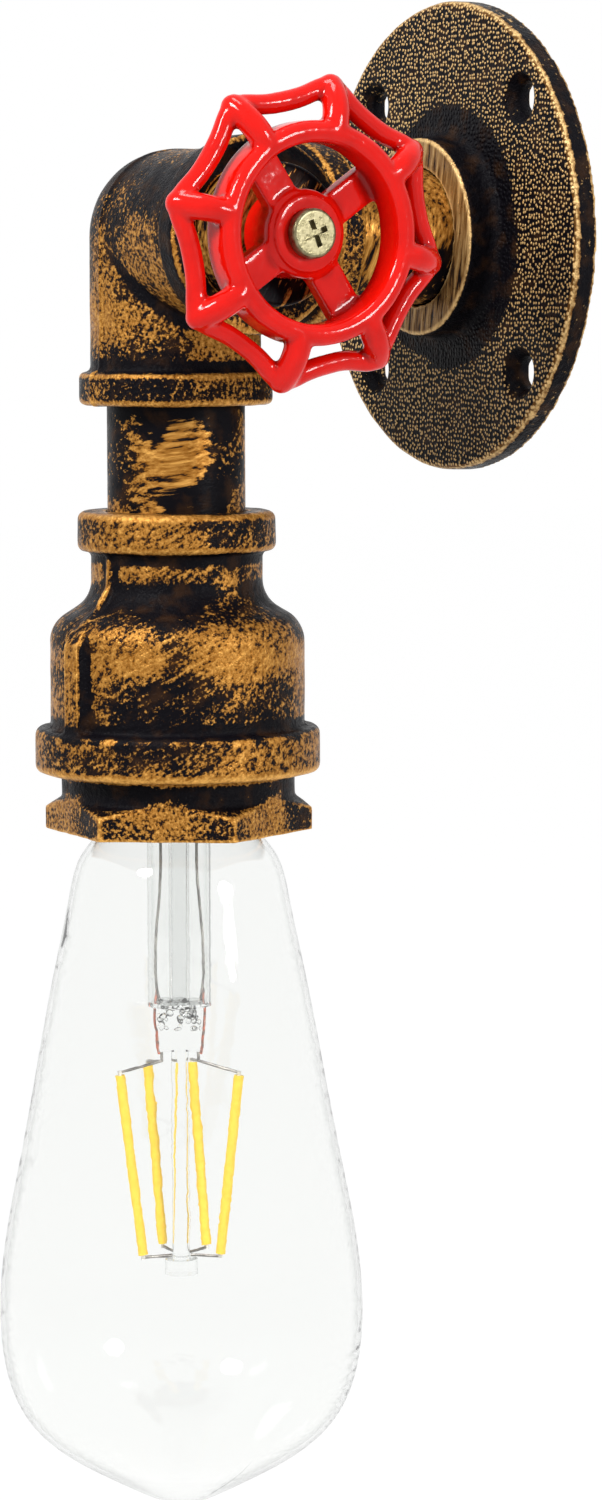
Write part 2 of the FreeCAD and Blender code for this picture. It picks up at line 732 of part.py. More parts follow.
def make_hex_bushing():
    """The hexagon bushing that closes the coupling and rings the neck of the lamp."""
    shank = "Sizes.coupling_body_radius - Sizes.coupling_wall - Sizes.thread_gap"
    body = turned("bushing_blank", [
        ("0", "Sizes.bushing_shank_top"),
        (shank, "Sizes.bushing_shank_top"),
        (shank, "Sizes.coupling_bottom"),
        ("Sizes.bushing_collar_radius", "Sizes.coupling_bottom"),
        ("Sizes.bushing_collar_radius", "Sizes.hexagon_start - Sizes.cut_overshoot"),
        ("0", "Sizes.hexagon_start - Sizes.cut_overshoot"),
    ])
    corner = "Sizes.hexagon_circumradius + Sizes.cut_overshoot"
    chamfer = turned("hexagon_chamfer", [
        ("0", "Sizes.hexagon_bottom"),
        (corner, "Sizes.hexagon_bottom"),
        (corner, "Sizes.hexagon_start - Sizes.hexagon_chamfer_height"),
        ("Sizes.hexagon_chamfer_radius", "Sizes.hexagon_start"),
        ("0", "Sizes.hexagon_start"),
    ])
    body.Placement = chamfer.Placement = Placement(LAMP_AXIS, Rotation())
    foot = Placement(LAMP_AXIS + Z_AXIS * size("hexagon_bottom"),
                     Rotation(Z_AXIS, size("hexagon_angle")))
    prism = primitive("Part::Prism", "HexagonBlank", {
        "Circumradius": "Sizes.hexagon_circumradius",
        "Height": "Sizes.hexagon_start - Sizes.hexagon_bottom"}, foot)
    prism.Polygon = 6
    hexagon = doc.addObject("Part::Common", "BushingHexagon")
    hexagon.Base = prism
    hexagon.Tool = chamfer
    bore_foot = Placement(foot.Base - Z_AXIS * size("cut_overshoot"), Rotation())
    bore_height = "Sizes.bushing_shank_top - Sizes.hexagon_bottom + 2 * Sizes.cut_overshoot"
    bore = primitive("Part::Cylinder", "BushingBore", {
        "Radius": "Sizes.bushing_bore_radius", "Height": bore_height}, bore_foot)
    mouth = primitive("Part::Cylinder", "BushingMouth", {
        "Radius": "Sizes.bushing_mouth_radius",
        "Height": "Sizes.bushing_mouth_depth + Sizes.cut_overshoot"}, bore_foot)
    solid = joined("BushingSolid", [body, hexagon])
    hollow = joined("BushingInside", [bore, mouth])
    doc.recompute()
    named(cut_from("HexBushing", solid, hollow), "hex_bushing")


# ---------------------------------------------------------------------------
# Lampholder
# ---------------------------------------------------------------------------
SHELL_OUTER = "(Sizes.cap_radius + Sizes.shell_gap + Sizes.shell_wall)"
WASHER_TOP = "(Sizes.bushing_shank_top + Sizes.washer_thickness)"
HOLDER_RADIUS = "(Sizes.coupling_body_radius - Sizes.coupling_wall - Sizes.holder_side_gap)"


def make_lampholder_body():
    """The ceramic lampholder that stands on the bushing inside the coupling."""
    body = turned("lampholder_body", [
        ("0", "Sizes.holder_top"),
        ("Sizes.holder_crown_radius", "Sizes.holder_top"),
        (HOLDER_RADIUS, "Sizes.holder_shoulder"),
        (HOLDER_RADIUS, WASHER_TOP),
        ("Sizes.holder_skirt_radius", WASHER_TOP),
        ("Sizes.holder_skirt_radius", "Sizes.holder_skirt_end"),
        (SHELL_OUTER + " + Sizes.thread_gap", "Sizes.holder_skirt_end"),
        (SHELL_OUTER + " + Sizes.thread_gap", "Sizes.holder_floor"),
        ("0", "Sizes.holder_floor"),
    ])
    holes = sketch_on(body, "TerminalHoles", "XY_Plane")
    holes.setExpression("AttachmentOffset.Base.z", "Sizes.holder_top")
    for number, place in enumerate(terminal_places()):
        holes.addGeometry(Part.Circle(place, Z_AXIS, size("terminal_shank_radius")), False)
        radius = holes.addConstraint(
            Sketcher.Constraint("Radius", number, size("terminal_shank_radius")))
        holes.setExpression("Constraints[%d]" % radius,
                            "Sizes.terminal_shank_radius + Sizes.thread_gap")
    doc.recompute()
    pocket = body.newObject("PartDesign::Pocket", "TerminalPockets")
    pocket.Profile = holes
    pocket.setExpression("Length", "Sizes.terminal_shank_length + Sizes.seat_gap")
    doc.recompute()
    named(body, "lampholder_body", Placement(LAMP_AXIS, Rotation()))


def terminal_places():
    """The places of the live, neutral and earth terminals across the holder's crown."""
    spacing = size("lead_spacing")
    return [Vector(offset, 0, 0) for offset in (-spacing, 0, spacing)]


def make_terminal_screws():
    """The three screws that clamp the leads on the holder's crown."""
    screws = []
    for place in terminal_places():
        top = LAMP_AXIS + place + Z_AXIS * size("holder_top")
        head = Part.makeCylinder(size("terminal_head_radius"), size("terminal_head_height"), top)
        shank = Part.makeCylinder(size("terminal_shank_radius"), size("terminal_shank_length"),
                                  top - Z_AXIS * size("terminal_shank_length"))
        width = size("terminal_slot")
        slot = Part.makeBox(2 * size("terminal_head_radius"), width, width)
        slot.translate(top + Vector(-size("terminal_head_radius"), -width / 2,
                                    size("terminal_head_height") - width))
        screws.append(head.fuse(shank).cut(slot))
    shaped("terminal_screws", Part.makeCompound(screws))


def make_holder_washer():
    """The fibre washer between the lampholder and the bushing."""
    body = turned("holder_washer", [
        ("Sizes.holder_skirt_radius + Sizes.thread_gap", "Sizes.bushing_shank_top"),
        (HOLDER_RADIUS, "Sizes.bushing_shank_top"),
        (HOLDER_RADIUS, WASHER_TOP),
        ("Sizes.holder_skirt_radius + Sizes.thread_gap", WASHER_TOP),
    ])
    named(body, "holder_washer", Placement(LAMP_AXIS, Rotation()))


def make_screw_shell():
    """The threaded metal shell of the lampholder."""
    top = "(Sizes.holder_floor - Sizes.shell_drop)"
    body = turned("screw_shell", [
        (SHELL_OUTER + " - Sizes.shell_wall", top),
        (SHELL_OUTER, top),
        (SHELL_OUTER, top + " - Sizes.shell_length"),
        (SHELL_OUTER + " - Sizes.shell_wall", top + " - Sizes.shell_length"),
    ])
    named(body, "screw_shell", Placement(LAMP_AXIS, Rotation()))


def make_centre_contact():
    """The spring tongue that meets the lamp's end contact."""
    width = size("tongue_width")
    thick = size("tongue_thickness")
    seat = size("lamp_seat") + size("seat_gap")
    floor = size("holder_floor")
    reach, tail = size("tongue_reach"), size("tongue_tail")
    plate = Part.makeBox(tail + reach, width, thick, Vector(-tail, -width / 2, floor - thick))
    drop = Part.makeBox(2 * reach, width, thick, Vector(-reach, -width / 2, seat))
    riser = Part.makeBox(thick, width, floor - seat, Vector(reach - thick, -width / 2, seat))
    tongue = plate.fuse(riser).fuse(drop).removeSplitter()
    tongue.translate(LAMP_AXIS)
    shaped("centre_contact", tongue)


# ---------------------------------------------------------------------------
# Leads inside the pipes
# ---------------------------------------------------------------------------
def make_lead(label, offset):
    """One insulated lead from the wall, round the elbow and down to its terminal."""
    bend = size("lead_bend_radius")
    head_top = size("holder_top") + size("terminal_head_height") + size("seat_gap")
    start = Vector(offset, -size("lead_start"), 0)
    bend_start = Vector(offset, -(ARM - bend), 0)
    bend_end = Vector(offset, -ARM, -bend)
    corner = bend * (1 - math.cos(math.radians(45)))
    bend_middle = Vector(offset, -ARM + corner, -corner)
    finish = Vector(offset, -ARM, head_top)
    path = Part.Wire([
        Part.LineSegment(start, bend_start).toShape(),
        Part.Arc(bend_start, bend_middle, bend_end).toShape(),
        Part.LineSegment(bend_end, finish).toShape(),
    ])
    section = Part.Wire(Part.makeCircle(size("lead_radius"), start, OUTWARD))
    shaped(label, path.makePipeShell([section], True, False))


# ---------------------------------------------------------------------------
# Lamp
# ---------------------------------------------------------------------------
CAP_TOP = "(Sizes.lamp_seat - Sizes.cap_contact_height - Sizes.cap_insulator_height)"
CAP_RIM = worked_out(CAP_TOP + " - Sizes.cap_length")


def make_cap_contact():
    """The end contact of the lamp's cap."""
    low = "(Sizes.lamp_seat - Sizes.cap_contact_height)"
    body = turned("cap_contact", [
        ("0", low),
        ("Sizes.cap_contact_radius", low),
        ("Sizes.cap_contact_radius - Sizes.cap_contact_bevel", "Sizes.lamp_seat"),
        ("0", "Sizes.lamp_seat"),
    ])
    named(body, "cap_contact", Placement(LAMP_AXIS, Rotation()))


def make_cap_insulator():
    """The dark glass insulator between the end contact and the cap's shell."""
    high = "(Sizes.lamp_seat - Sizes.cap_contact_height)"
    body = turned("cap_insulator", [
        ("0", CAP_TOP),
        ("Sizes.cap_crown_radius", CAP_TOP),
        ("Sizes.cap_contact_radius + Sizes.cap_insulator_margin", high),
        ("0", high),
    ])
    named(body, "cap_insulator", Placement(LAMP_AXIS, Rotation()))


def make_screw_cap():
    """The lamp's metal screw cap."""
    rim = CAP_TOP + " - Sizes.cap_length"
    inner = "Sizes.cap_radius - Sizes.cap_wall"
    lip = "Sizes.cap_crown_radius - Sizes.cap_crown_lip"
    body = turned("screw_cap", [
        (lip, CAP_TOP),
        ("Sizes.cap_crown_radius", CAP_TOP),
        ("Sizes.cap_radius", CAP_TOP + " - Sizes.cap_crown_depth"),
        ("Sizes.cap_radius", rim),
        (inner, rim),
        (inner, CAP_TOP + " - Sizes.cap_crown_depth - Sizes.cap_wall"),
        (lip, CAP_TOP + " - Sizes.cap_wall"),
    ])
    named(body, "screw_cap", Placement(LAMP_AXIS, Rotation()))


def glass_outline():
    """The stations of the bulb's outer surface, from the cap's rim to the tip."""
    stations = ["neck", "mouth", "shoulder", "slope", "upper", "cone", "belly", "turn", "dip", "tip"]
    points = [Vector(size("glass_neck_radius"), 0, CAP_RIM)]
    for station in stations:
        points.append(Vector(size("glass_%s_radius" % station), 0, -size("glass_%s_drop" % station)))
    points.append(Vector(0, 0, -size("glass_end_drop")))
    return points


def glass_curve(points):
    """A smooth curve through points, carried on past the axis so that it meets it squarely."""
    beyond = [Vector(-point.x, 0, point.z) for point in reversed(points[-4:-1])]
    curve = Part.BSplineCurve()
    curve.interpolate(points + beyond)
    return curve


def glass_edge(curve, end):
    """The stretch of a curve from its start to an end point."""
    return curve.toShape(curve.FirstParameter, curve.parameter(end))


def make_bulb_glass():
    """The clear pear-shaped envelope, drawn to a small rounded tip at the bottom."""
    outer = glass_outline()
    curve = glass_curve(outer)
    wall = size("glass_wall")
    inner = [outer[0] - X_AXIS * wall]
    for point in outer[1:-1]:
        tangent = curve.tangent(curve.parameter(point))[0]
        normal = Vector(tangent.z, 0, -tangent.x).normalize()
        inner.append(point + normal * wall * (1 if normal.x < 0 else -1))
    inner.append(outer[-1] + Z_AXIS * wall)
    inside = glass_curve(inner)
    outline = Part.Wire([
        glass_edge(curve, outer[-1]),
        Part.LineSegment(outer[-1], inner[-1]).toShape(),
        glass_edge(inside, inner[-1]),
        Part.LineSegment(inner[0], outer[0]).toShape(),
    ])
    glass = Part.Face(outline).revolve(Vector(0, 0, 0), Z_AXIS, 360)
    glass.translate(LAMP_AXIS)
    shaped("bulb_glass", glass)


def make_stem_tube():
    """The flared glass stem that is sealed to the bulb's neck and pinched at its foot."""
    radius, wall = size("stem_tube_radius"), size("stem_tube_wall")
    top = CAP_RIM - size("stem_top_gap")
    flare_end = top - size("stem_flare_drop")
    outline = Part.makePolygon([
        Vector(size("stem_flare_radius"), 0, top),
        Vector(size("stem_flare_radius"), 0, top - wall),
        Vector(radius, 0, flare_end),
        Vector(radius, 0, size("pinch_top")),
        Vector(0, 0, size("pinch_top")),
        Vector(0, 0, size("pinch_top") + wall),
        Vector(radius - wall, 0, size("pinch_top") + wall),
        Vector(radius - wall, 0, flare_end + wall),
        Vector(size("stem_flare_radius") - 2 * wall, 0, top),
        Vector(size("stem_flare_radius"), 0, top),
    ])
    tube = Part.Face(outline).revolve(Vector(0, 0, 0), Z_AXIS, 360)
    pinch = Part.makeBox(size("pinch_width"), size("pinch_thickness"),
                         size("pinch_top") - size("pinch_bottom"),
                         Vector(-size("pinch_width") / 2, -size("pinch_thickness") / 2,
                                size("pinch_bottom")))
    bottom = size("mount_rod_bottom")
    rod = Part.makeCylinder(size("mount_rod_radius"), size("pinch_bottom") - bottom,
                            Vector(0, 0, bottom))
    button = Part.makeCylinder(size("mount_button_radius"), size("mount_button_height"),
                               Vector(0, 0, bottom))
    stem = tube.multiFuse([pinch, rod, button]).removeSplitter()
    stem.rotate(Vector(0, 0, 0), Z_AXIS, size("mount_angle"))
    stem.translate(LAMP_AXIS)
    shaped("glass_stem", stem)


def make_exhaust_tube():
    """The thin tube down the middle of the stem."""
    radius = size("exhaust_tube_radius")
    low = size("pinch_top") + size("stem_tube_wall")
    height = size("exhaust_tube_top") - low
    tube = Part.makeCylinder(radius, height, Vector(0, 0, low))
    tube = tube.cut(Part.makeCylinder(radius - size("exhaust_tube_wall"), height, Vector(0, 0, low)))
    tube.translate(LAMP_AXIS)
    shaped("exhaust_tube", tube)


def wire_between(points, radius):
    """A thin wire of straight runs between points."""
    pieces = []
    for start, end in zip(points, points[1:]):
        run = end - start
        pieces.append(Part.makeCylinder(radius, run.Length, start, run))
    for joint in points[1:-1]:
        pieces.append(Part.makeSphere(radius, joint))
    if len(pieces) == 1:
        return pieces[0]
    return pieces[0].multiFuse(pieces[1:])


def filament_ends():
    """The top and bottom centres of each filament, spread into an opening fan."""
    ends = []
    for number in ("one", "two", "three", "four"):
        head, foot = size("filament_head_" + number), size("filament_foot_" + number)
        ends.append((on_wheel(size("filament_top_spread"), head, size("filament_top")),
                     on_wheel(size("filament_bottom_spread"), foot, size("filament_bottom"))))
    return ends


def make_filaments():
    """The four coated filament sticks."""
    sticks = [wire_between([low, high], size("filament_radius")) for high, low in filament_ends()]
    for stick in sticks:
        stick.translate(LAMP_AXIS)
    shaped("led_filaments", Part.makeCompound(sticks))


def make_supports():
    """The wires that carry the filaments at the pinch and at the foot of the rod."""
    radius = size("support_wire_radius")
    stand_off = size("seat_gap") + radius
    ends = filament_ends()
    upper = []
    for side, pair in enumerate((ends[:2], ends[2:])):
        root = on_wheel(size("pinch_width") / 2 - 2 * radius, size("mount_angle") + 180 * side,
                        size("pinch_bottom") - size("seat_gap"))
        fork = Vector(root.x, root.y, size("support_top"))
        branches = [wire_between([root, fork], radius)]
        for high, low in pair:
            above = high + (high - low).normalize() * stand_off
            branches.append(wire_between([fork, above], radius))
        upper.append(branches[0].multiFuse(branches[1:] + [Part.makeSphere(radius, fork)]))
    lower = []
    for high, low in ends:
        below = low + (low - high).normalize() * stand_off
        middle = Vector(0, 0, below.z)
        inner = middle + (below - middle).normalize() * (size("mount_rod_radius") + radius)
        lower.append(wire_between([inner, below], radius))
    for label, wires in (("filament_wires_top", upper), ("filament_wires_bottom", lower)):
        group = Part.makeCompound(wires)
        group.translate(LAMP_AXIS)
        shaped(label, group)


def make_inner_leads():
    """The two thin leads that wander down the stem from the driver board to the pinch."""
    top = size("lamp_seat") - size("board_drop") - size("board_thickness") - size("seat_gap")
    foot = size("pinch_top") + size("stem_tube_wall") + size("seat_gap")
    bends = int(size("inner_lead_bends"))
    leads = []
    for side in (0, 180):
        route = []
        for number in range(bends + 1):
            share = number / bends
            spread = size("inner_lead_offset") + size("inner_lead_sway") * math.sin(3 * math.pi * share)
            angle = size("mount_angle") + side + size("inner_lead_twist") * (1 - share)
            route.append(on_wheel(spread, angle, top + (foot - top) * share))
        leads.append(bar(route, size("inner_lead_radius")))
    group = Part.makeCompound(leads)
    group.translate(LAMP_AXIS)
    shaped("stem_leads", group)


def make_driver_board():
    """The small driver board inside the cap, with its capacitor."""
    level = size("lamp_seat") - size("board_drop")
    board = Part.makeCylinder(size("board_radius"), size("board_thickness"),
                              LAMP_AXIS + Z_AXIS * (level - size("board_thickness")))
    shaped("driver_board", board)
    capacitor = Part.makeCylinder(size("capacitor_radius"), size("capacitor_height"),
                                  LAMP_AXIS + Z_AXIS * level)
    shaped("driver_capacitor", capacitor)


make_floor_flange()
make_wall_nipple()
make_side_outlet_elbow()
make_outlet_plug()
make_wheel_screw()
make_handwheel()
make_drop_nipple()
make_reducing_coupling()
make_hex_bushing()
make_lampholder_body()
make_holder_washer()
make_terminal_screws()
make_screw_shell()
make_centre_contact()
for lead, terminal in zip(("live_lead", "neutral_lead", "earth_lead"), terminal_places()):
    make_lead(lead, terminal.x)
make_cap_contact()
make_cap_insulator()
make_screw_cap()
make_bulb_glass()
make_stem_tube()
make_exhaust_tube()
make_filaments()
make_supports()
make_inner_leads()
make_driver_board()
doc.recompute()

# ---------------------------------------------------------------------------
# Check and write
# ---------------------------------------------------------------------------
failed = []
for thing in doc.Objects:
    if "Invalid" in thing.State or "Error" in thing.State:
        failed.append("%s is %s" % (thing.Name, thing.State))
for thing in FINISHED:
    if thing.Shape.isNull() or not thing.Shape.isValid():
        failed.append("%s has no valid shape" % thing.Label)
if failed:
    raise RuntimeError("; ".join(failed))

os.makedirs("parts", exist_ok=True)
for thing in FINISHED:
    thing.Shape.exportStep(os.path.join("parts", thing.Label + ".step"))
    print("%-24s solids %d  volume %.1f" % (thing.Label, len(thing.Shape.Solids), thing.Shape.Volume))
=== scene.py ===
"""Looks of the industrial pipe wall light, built around its packed construction model.

Everything is in metres, in the construction model's frame: the wall is Y = 0, the light stands
out towards -Y, +Z is up and the handwheel is on the +X side. The castings and the handwheel are
replaced by denser, softened skins made from the construction model's own meshes, and the other
pieces keep theirs.
"""
import logging
import math
import random
from dataclasses import dataclass, field
from enum import Enum

import bmesh
import bpy
from mathutils import Matrix, Vector, noise


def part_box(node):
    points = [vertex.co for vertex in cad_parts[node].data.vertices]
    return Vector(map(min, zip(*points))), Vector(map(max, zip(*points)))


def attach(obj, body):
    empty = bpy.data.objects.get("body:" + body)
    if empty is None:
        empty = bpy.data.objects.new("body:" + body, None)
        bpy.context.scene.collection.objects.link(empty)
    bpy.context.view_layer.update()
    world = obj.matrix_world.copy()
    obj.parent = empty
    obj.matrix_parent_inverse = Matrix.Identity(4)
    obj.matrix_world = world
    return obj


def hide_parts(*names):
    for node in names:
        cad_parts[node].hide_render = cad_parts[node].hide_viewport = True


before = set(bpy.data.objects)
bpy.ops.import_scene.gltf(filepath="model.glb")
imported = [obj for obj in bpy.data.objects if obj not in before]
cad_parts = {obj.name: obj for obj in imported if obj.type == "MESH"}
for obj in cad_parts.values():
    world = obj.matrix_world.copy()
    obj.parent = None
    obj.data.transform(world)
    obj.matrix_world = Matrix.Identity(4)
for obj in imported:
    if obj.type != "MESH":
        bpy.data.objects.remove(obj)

LOG = logging.getLogger("wall_light")
MM = 0.001
RELIEF = "relief"
ARM_LENGTH = 66.5 * MM
LAMP_AXIS = Vector((0.0, -ARM_LENGTH, 0.0))

Direction = tuple[float, float, float]
Span = tuple[float, float]

# Where most of a noise's values lie.
NOISE_SPAN: Span = (0.3, 0.7)
STROKE_DETAIL = 4.0
STROKE_ROUGHNESS = 0.65
# Distances from a pebble's middle, in cells, at which it has sunk to 0 and risen to 1.
PEBBLE_GAP = 0.60
PEBBLE_TOP = 0.05
COAT_SHADE: Span = (0.38, 0.66)
COAT_GRAINS_PER_METRE = 2600.0


class Paint(Enum):
    """The colours of the light's finishes, in linear light."""

    SOOT = (0.0035, 0.003, 0.0045, 1.0)
    UMBER = (0.026, 0.012, 0.006, 1.0)
    OLD_GOLD = (0.225, 0.084, 0.010, 1.0)
    # The lighter gold below is a painted highlight on the brushed gold's high places.
    GOLD_HIGHLIGHT = (0.85, 0.45, 0.11, 1.0)
    FLANGE_GOLD = (0.150, 0.066, 0.016, 1.0)
    # The pale gold below is a painted highlight on the tops of the flange's pebbles.
    FLANGE_TIP_HIGHLIGHT = (0.74, 0.49, 0.21, 1.0)
    WHEEL_RED = (0.66, 0.005, 0.0018, 1.0)
    # The deep red below is the enamel's uneven tone and also painted shade in the wheel's hollows.
    DEEP_RED_AND_SHADE = (0.20, 0.0008, 0.0006, 1.0)
    YELLOW_ZINC = (0.17, 0.15, 0.08, 1.0)
    PALE_ZINC = (0.27, 0.24, 0.14, 1.0)
    AMBER = (1.0, 0.71, 0.045, 1.0)
    DEEP_AMBER = (1.0, 0.64, 0.030, 1.0)
    WIRE = (0.16, 0.15, 0.14, 1.0)
    TAB = (0.70, 0.68, 0.62, 1.0)
    COPPER = (0.50, 0.16, 0.10, 1.0)
    CERAMIC = (0.80, 0.78, 0.72, 1.0)
    CERAMIC_SHADE = (0.55, 0.52, 0.46, 1.0)
    BRASS = (0.62, 0.42, 0.16, 1.0)
    BRASS_SHADE = (0.32, 0.20, 0.07, 1.0)
    NICKEL = (0.62, 0.60, 0.57, 1.0)
    NICKEL_SHADE = (0.36, 0.34, 0.31, 1.0)
    FIBRE = (0.24, 0.06, 0.03, 1.0)
    FIBRE_SHADE = (0.13, 0.03, 0.02, 1.0)
    LIVE = (0.10, 0.035, 0.015, 1.0)
    LIVE_SHADE = (0.07, 0.025, 0.01, 1.0)
    NEUTRAL = (0.02, 0.08, 0.40, 1.0)
    NEUTRAL_SHADE = (0.015, 0.055, 0.30, 1.0)
    EARTH = (0.10, 0.30, 0.03, 1.0)
    EARTH_SHADE = (0.07, 0.22, 0.02, 1.0)
    BOARD = (0.02, 0.14, 0.05, 1.0)
    BOARD_SHADE = (0.015, 0.10, 0.035, 1.0)
    BLACK_GLASS = (0.01, 0.01, 0.012, 1.0)
    SLEEVE = (0.03, 0.035, 0.07, 1.0)
    CLEAR = (0.958, 0.964, 0.955, 1.0)
    # The rim colour below is painted shade at the blown glass's outline.
    CLEAR_RIM_SHADE = (0.30, 0.34, 0.31, 1.0)
    MOUNT = (0.986, 0.990, 0.987, 1.0)
    # The rim colour below is painted shade at the drawn glass's outline.
    MOUNT_RIM_SHADE = (0.50, 0.54, 0.52, 1.0)
    FLOOR = (0.92, 0.92, 0.92, 1.0)
    FLOOR_SHADE = (0.89, 0.89, 0.89, 1.0)


class Slot(Enum):
    """The record's material slot names."""

    CASTING = "cast_bronze_finish"
    ENAMEL = "red_enamel"
    WIRE = "support_wire"
    STEM = "stem_glass"


# --- Shader helpers ---
class NodeBench:
    """A node tree with short ways to add and join nodes.

    The Mix node has several sockets of each name, so its colour sockets are told by number.
    """

    MIX_AMOUNT = 0
    MIX_FIRST = 6
    MIX_SECOND = 7
    MIX_RESULT = 2

    def __init__(self, tree: bpy.types.NodeTree) -> None:
        """Keep the tree that nodes go into.

        Args:
            tree: the tree of a material, a world or a group.
        """
        self.tree = tree

    def add(self, kind: str, **settings: object) -> bpy.types.Node:
        """Add a node.

        Args:
            kind: the node's type name.
            settings: attributes of the node, set by name.

        Returns:
            The new node.
        """
        node = self.tree.nodes.new(kind)
        for key, value in settings.items():
            setattr(node, key, value)
        return node

    def feed(self, source: object, node: bpy.types.Node, socket: str | int) -> None:
        """Join an output to an input, or set the input where the source is plain data.

        Args:
            source: an output socket, a number or a colour.
            node: the node that takes it.
            socket: the input's name or number.
        """
        target = node.inputs[socket]
        if isinstance(source, bpy.types.NodeSocket):
            self.tree.links.new(source, target)
        else:
            target.default_value = source

    def maths(self, operation: str, first: object, second: object = 0.0, clamp: bool = False) -> object:
        """One arithmetic step.

        Args:
            operation: the Math node's operation.
            first: the first number or socket.
            second: the second number or socket.
            clamp: whether the result stays between 0 and 1.

        Returns:
            The result's socket.
        """
        node = self.add("ShaderNodeMath", operation=operation, use_clamp=clamp)
        self.feed(first, node, 0)
        self.feed(second, node, 1)
        return node.outputs[0]

    def ramp(self, value: object, low: object, high: object, start: object = 0.0,
             end: object = 1.0) -> object:
        """A value mapped smoothly from one range to another.

        Args:
            value: the socket to map.
            low: the value that gives start.
            high: the value that gives end.
            start: the result at low.
            end: the result at high.

        Returns:
            The result's socket.
        """
        node = self.add("ShaderNodeMapRange", interpolation_type="SMOOTHSTEP")
        self.feed(value, node, "Value")
        for name, number in (("From Min", low), ("From Max", high), ("To Min", start), ("To Max", end)):
            self.feed(number, node, name)
        return node.outputs[0]

    def blend(self, amount: object, first: object, second: object) -> object:
        """Two colours mixed by an amount.

        Args:
            amount: the share of the second colour.
            first: the first colour or socket.
            second: the second colour or socket.

        Returns:
            The mixed colour's socket.
        """
        node = self.add("ShaderNodeMix", data_type="RGBA")
        self.feed(amount, node, self.MIX_AMOUNT)
        self.feed(first, node, self.MIX_FIRST)
        self.feed(second, node, self.MIX_SECOND)
        return node.outputs[self.MIX_RESULT]

    def mix_values(self, amount: float, first: object, second: object) -> object:
        """Two values mixed by a fixed share.

        Args:
            amount: the share of the second value.
            first: the first value's socket.
            second: the second value's socket.

        Returns:
            The mixed value's socket.
        """
        kept = self.maths("MULTIPLY", first, 1.0 - amount)
        return self.maths("ADD", kept, self.maths("MULTIPLY", second, amount))

    def place(self) -> object:
        """The point being shaded, in the object's own metres.

        Returns:
            The place's socket.
        """
        return self.add("ShaderNodeTexCoord").outputs["Object"]

    def axes(self, vector: object = None) -> list[object]:
        """The X, Y and Z of a vector.

        Args:
            vector: the vector's socket, or None for the point being shaded.

        Returns:
            The three sockets.
        """
        split = self.add("ShaderNodeSeparateXYZ")
        self.feed(self.place() if vector is None else vector, split, 0)
        return list(split.outputs)

    def noise_at(self, vector: object, scale: object, detail: float, rough: float) -> object:
        """Noise from 0 to 1 at a place.

        Args:
            vector: the place's socket.
            scale: patches per unit of the place.
            detail: how many finer layers it has.
            rough: the weight of the finer layers.

        Returns:
            The noise's socket.
        """
        texture = self.add("ShaderNodeTexNoise")
        for name, value in (("Vector", vector), ("Scale", scale), ("Detail", detail), ("Roughness", rough)):
            self.feed(value, texture, name)
        return texture.outputs[0]

    def speckle(self, scale: object, detail: float = 3.0, rough: float = 0.5) -> object:
        """Even noise over the object.

        Args:
            scale: patches per metre.
            detail: how many finer layers it has.
            rough: the weight of the finer layers.

        Returns:
            The noise's socket.
        """
        return self.noise_at(self.place(), scale, detail, rough)

    def wander(self, patches: float, detail: float, limits: Span) -> object:
        """A value that wanders between two limits over the object.

        Args:
            patches: patches per metre.
            detail: how many finer layers it has.
            limits: the lowest and the highest value.

        Returns:
            The value's socket.
        """
        return self.ramp(self.speckle(patches, detail), *NOISE_SPAN, *limits)

    def strokes(self, along: Direction, bristles: float, length: float) -> object:
        """Noise drawn out in one direction, as bristles leave paint.

        Args:
            along: the direction of the strokes.
            bristles: bristles per metre.
            length: how many times longer than wide a mark is.

        Returns:
            The noise's socket.
        """
        ahead = Vector(along).normalized()
        across = ahead.orthogonal().normalized()
        third = ahead.cross(across)
        joined = self.add("ShaderNodeCombineXYZ")
        for index, (axis, share) in enumerate(((ahead, 1.0 / length), (across, 1.0), (third, 1.0))):
            dot = self.add("ShaderNodeVectorMath", operation="DOT_PRODUCT")
            self.feed(self.place(), dot, 0)
            self.feed(tuple(axis * share), dot, 1)
            self.feed(dot.outputs["Value"], joined, index)
        return self.noise_at(joined.outputs[0], bristles, STROKE_DETAIL, STROKE_ROUGHNESS)


def new_group(name: str, inputs: dict[str, object],
              outputs: dict[str, str]) -> tuple[NodeBench, bpy.types.Node, bpy.types.Node]:
    """Start a shader node group.

    Args:
        name: the group's name.
        inputs: each input's name and its default number or colour.
        outputs: each output's name and its socket type.

    Returns:
        The bench, the group's input node and its output node.
    """
    group = bpy.data.node_groups.new(name, "ShaderNodeTree")
    for label, value in inputs.items():
        kind = "NodeSocketColor" if isinstance(value, tuple) else "NodeSocketFloat"
        socket = group.interface.new_socket(name=label, in_out="INPUT", socket_type=kind)
        socket.default_value = value
    for label, kind in outputs.items():
        group.interface.new_socket(name=label, in_out="OUTPUT", socket_type=kind)
    bench = NodeBench(group)
    return bench, bench.add("NodeGroupInput"), bench.add("NodeGroupOutput")


def place_group(bench: NodeBench, group: bpy.types.NodeTree, values: dict[str, object]) -> bpy.types.Node:
    """Put a group into a material with its own values.

    Args:
        bench: the material's bench.
        group: the group to place.
        values: its inputs by name.

    Returns:
        The placed group node.
    """
    node = bench.add("ShaderNodeGroup")
    node.node_tree = group
    for key, value in values.items():
        bench.feed(value, node, key)
    return node


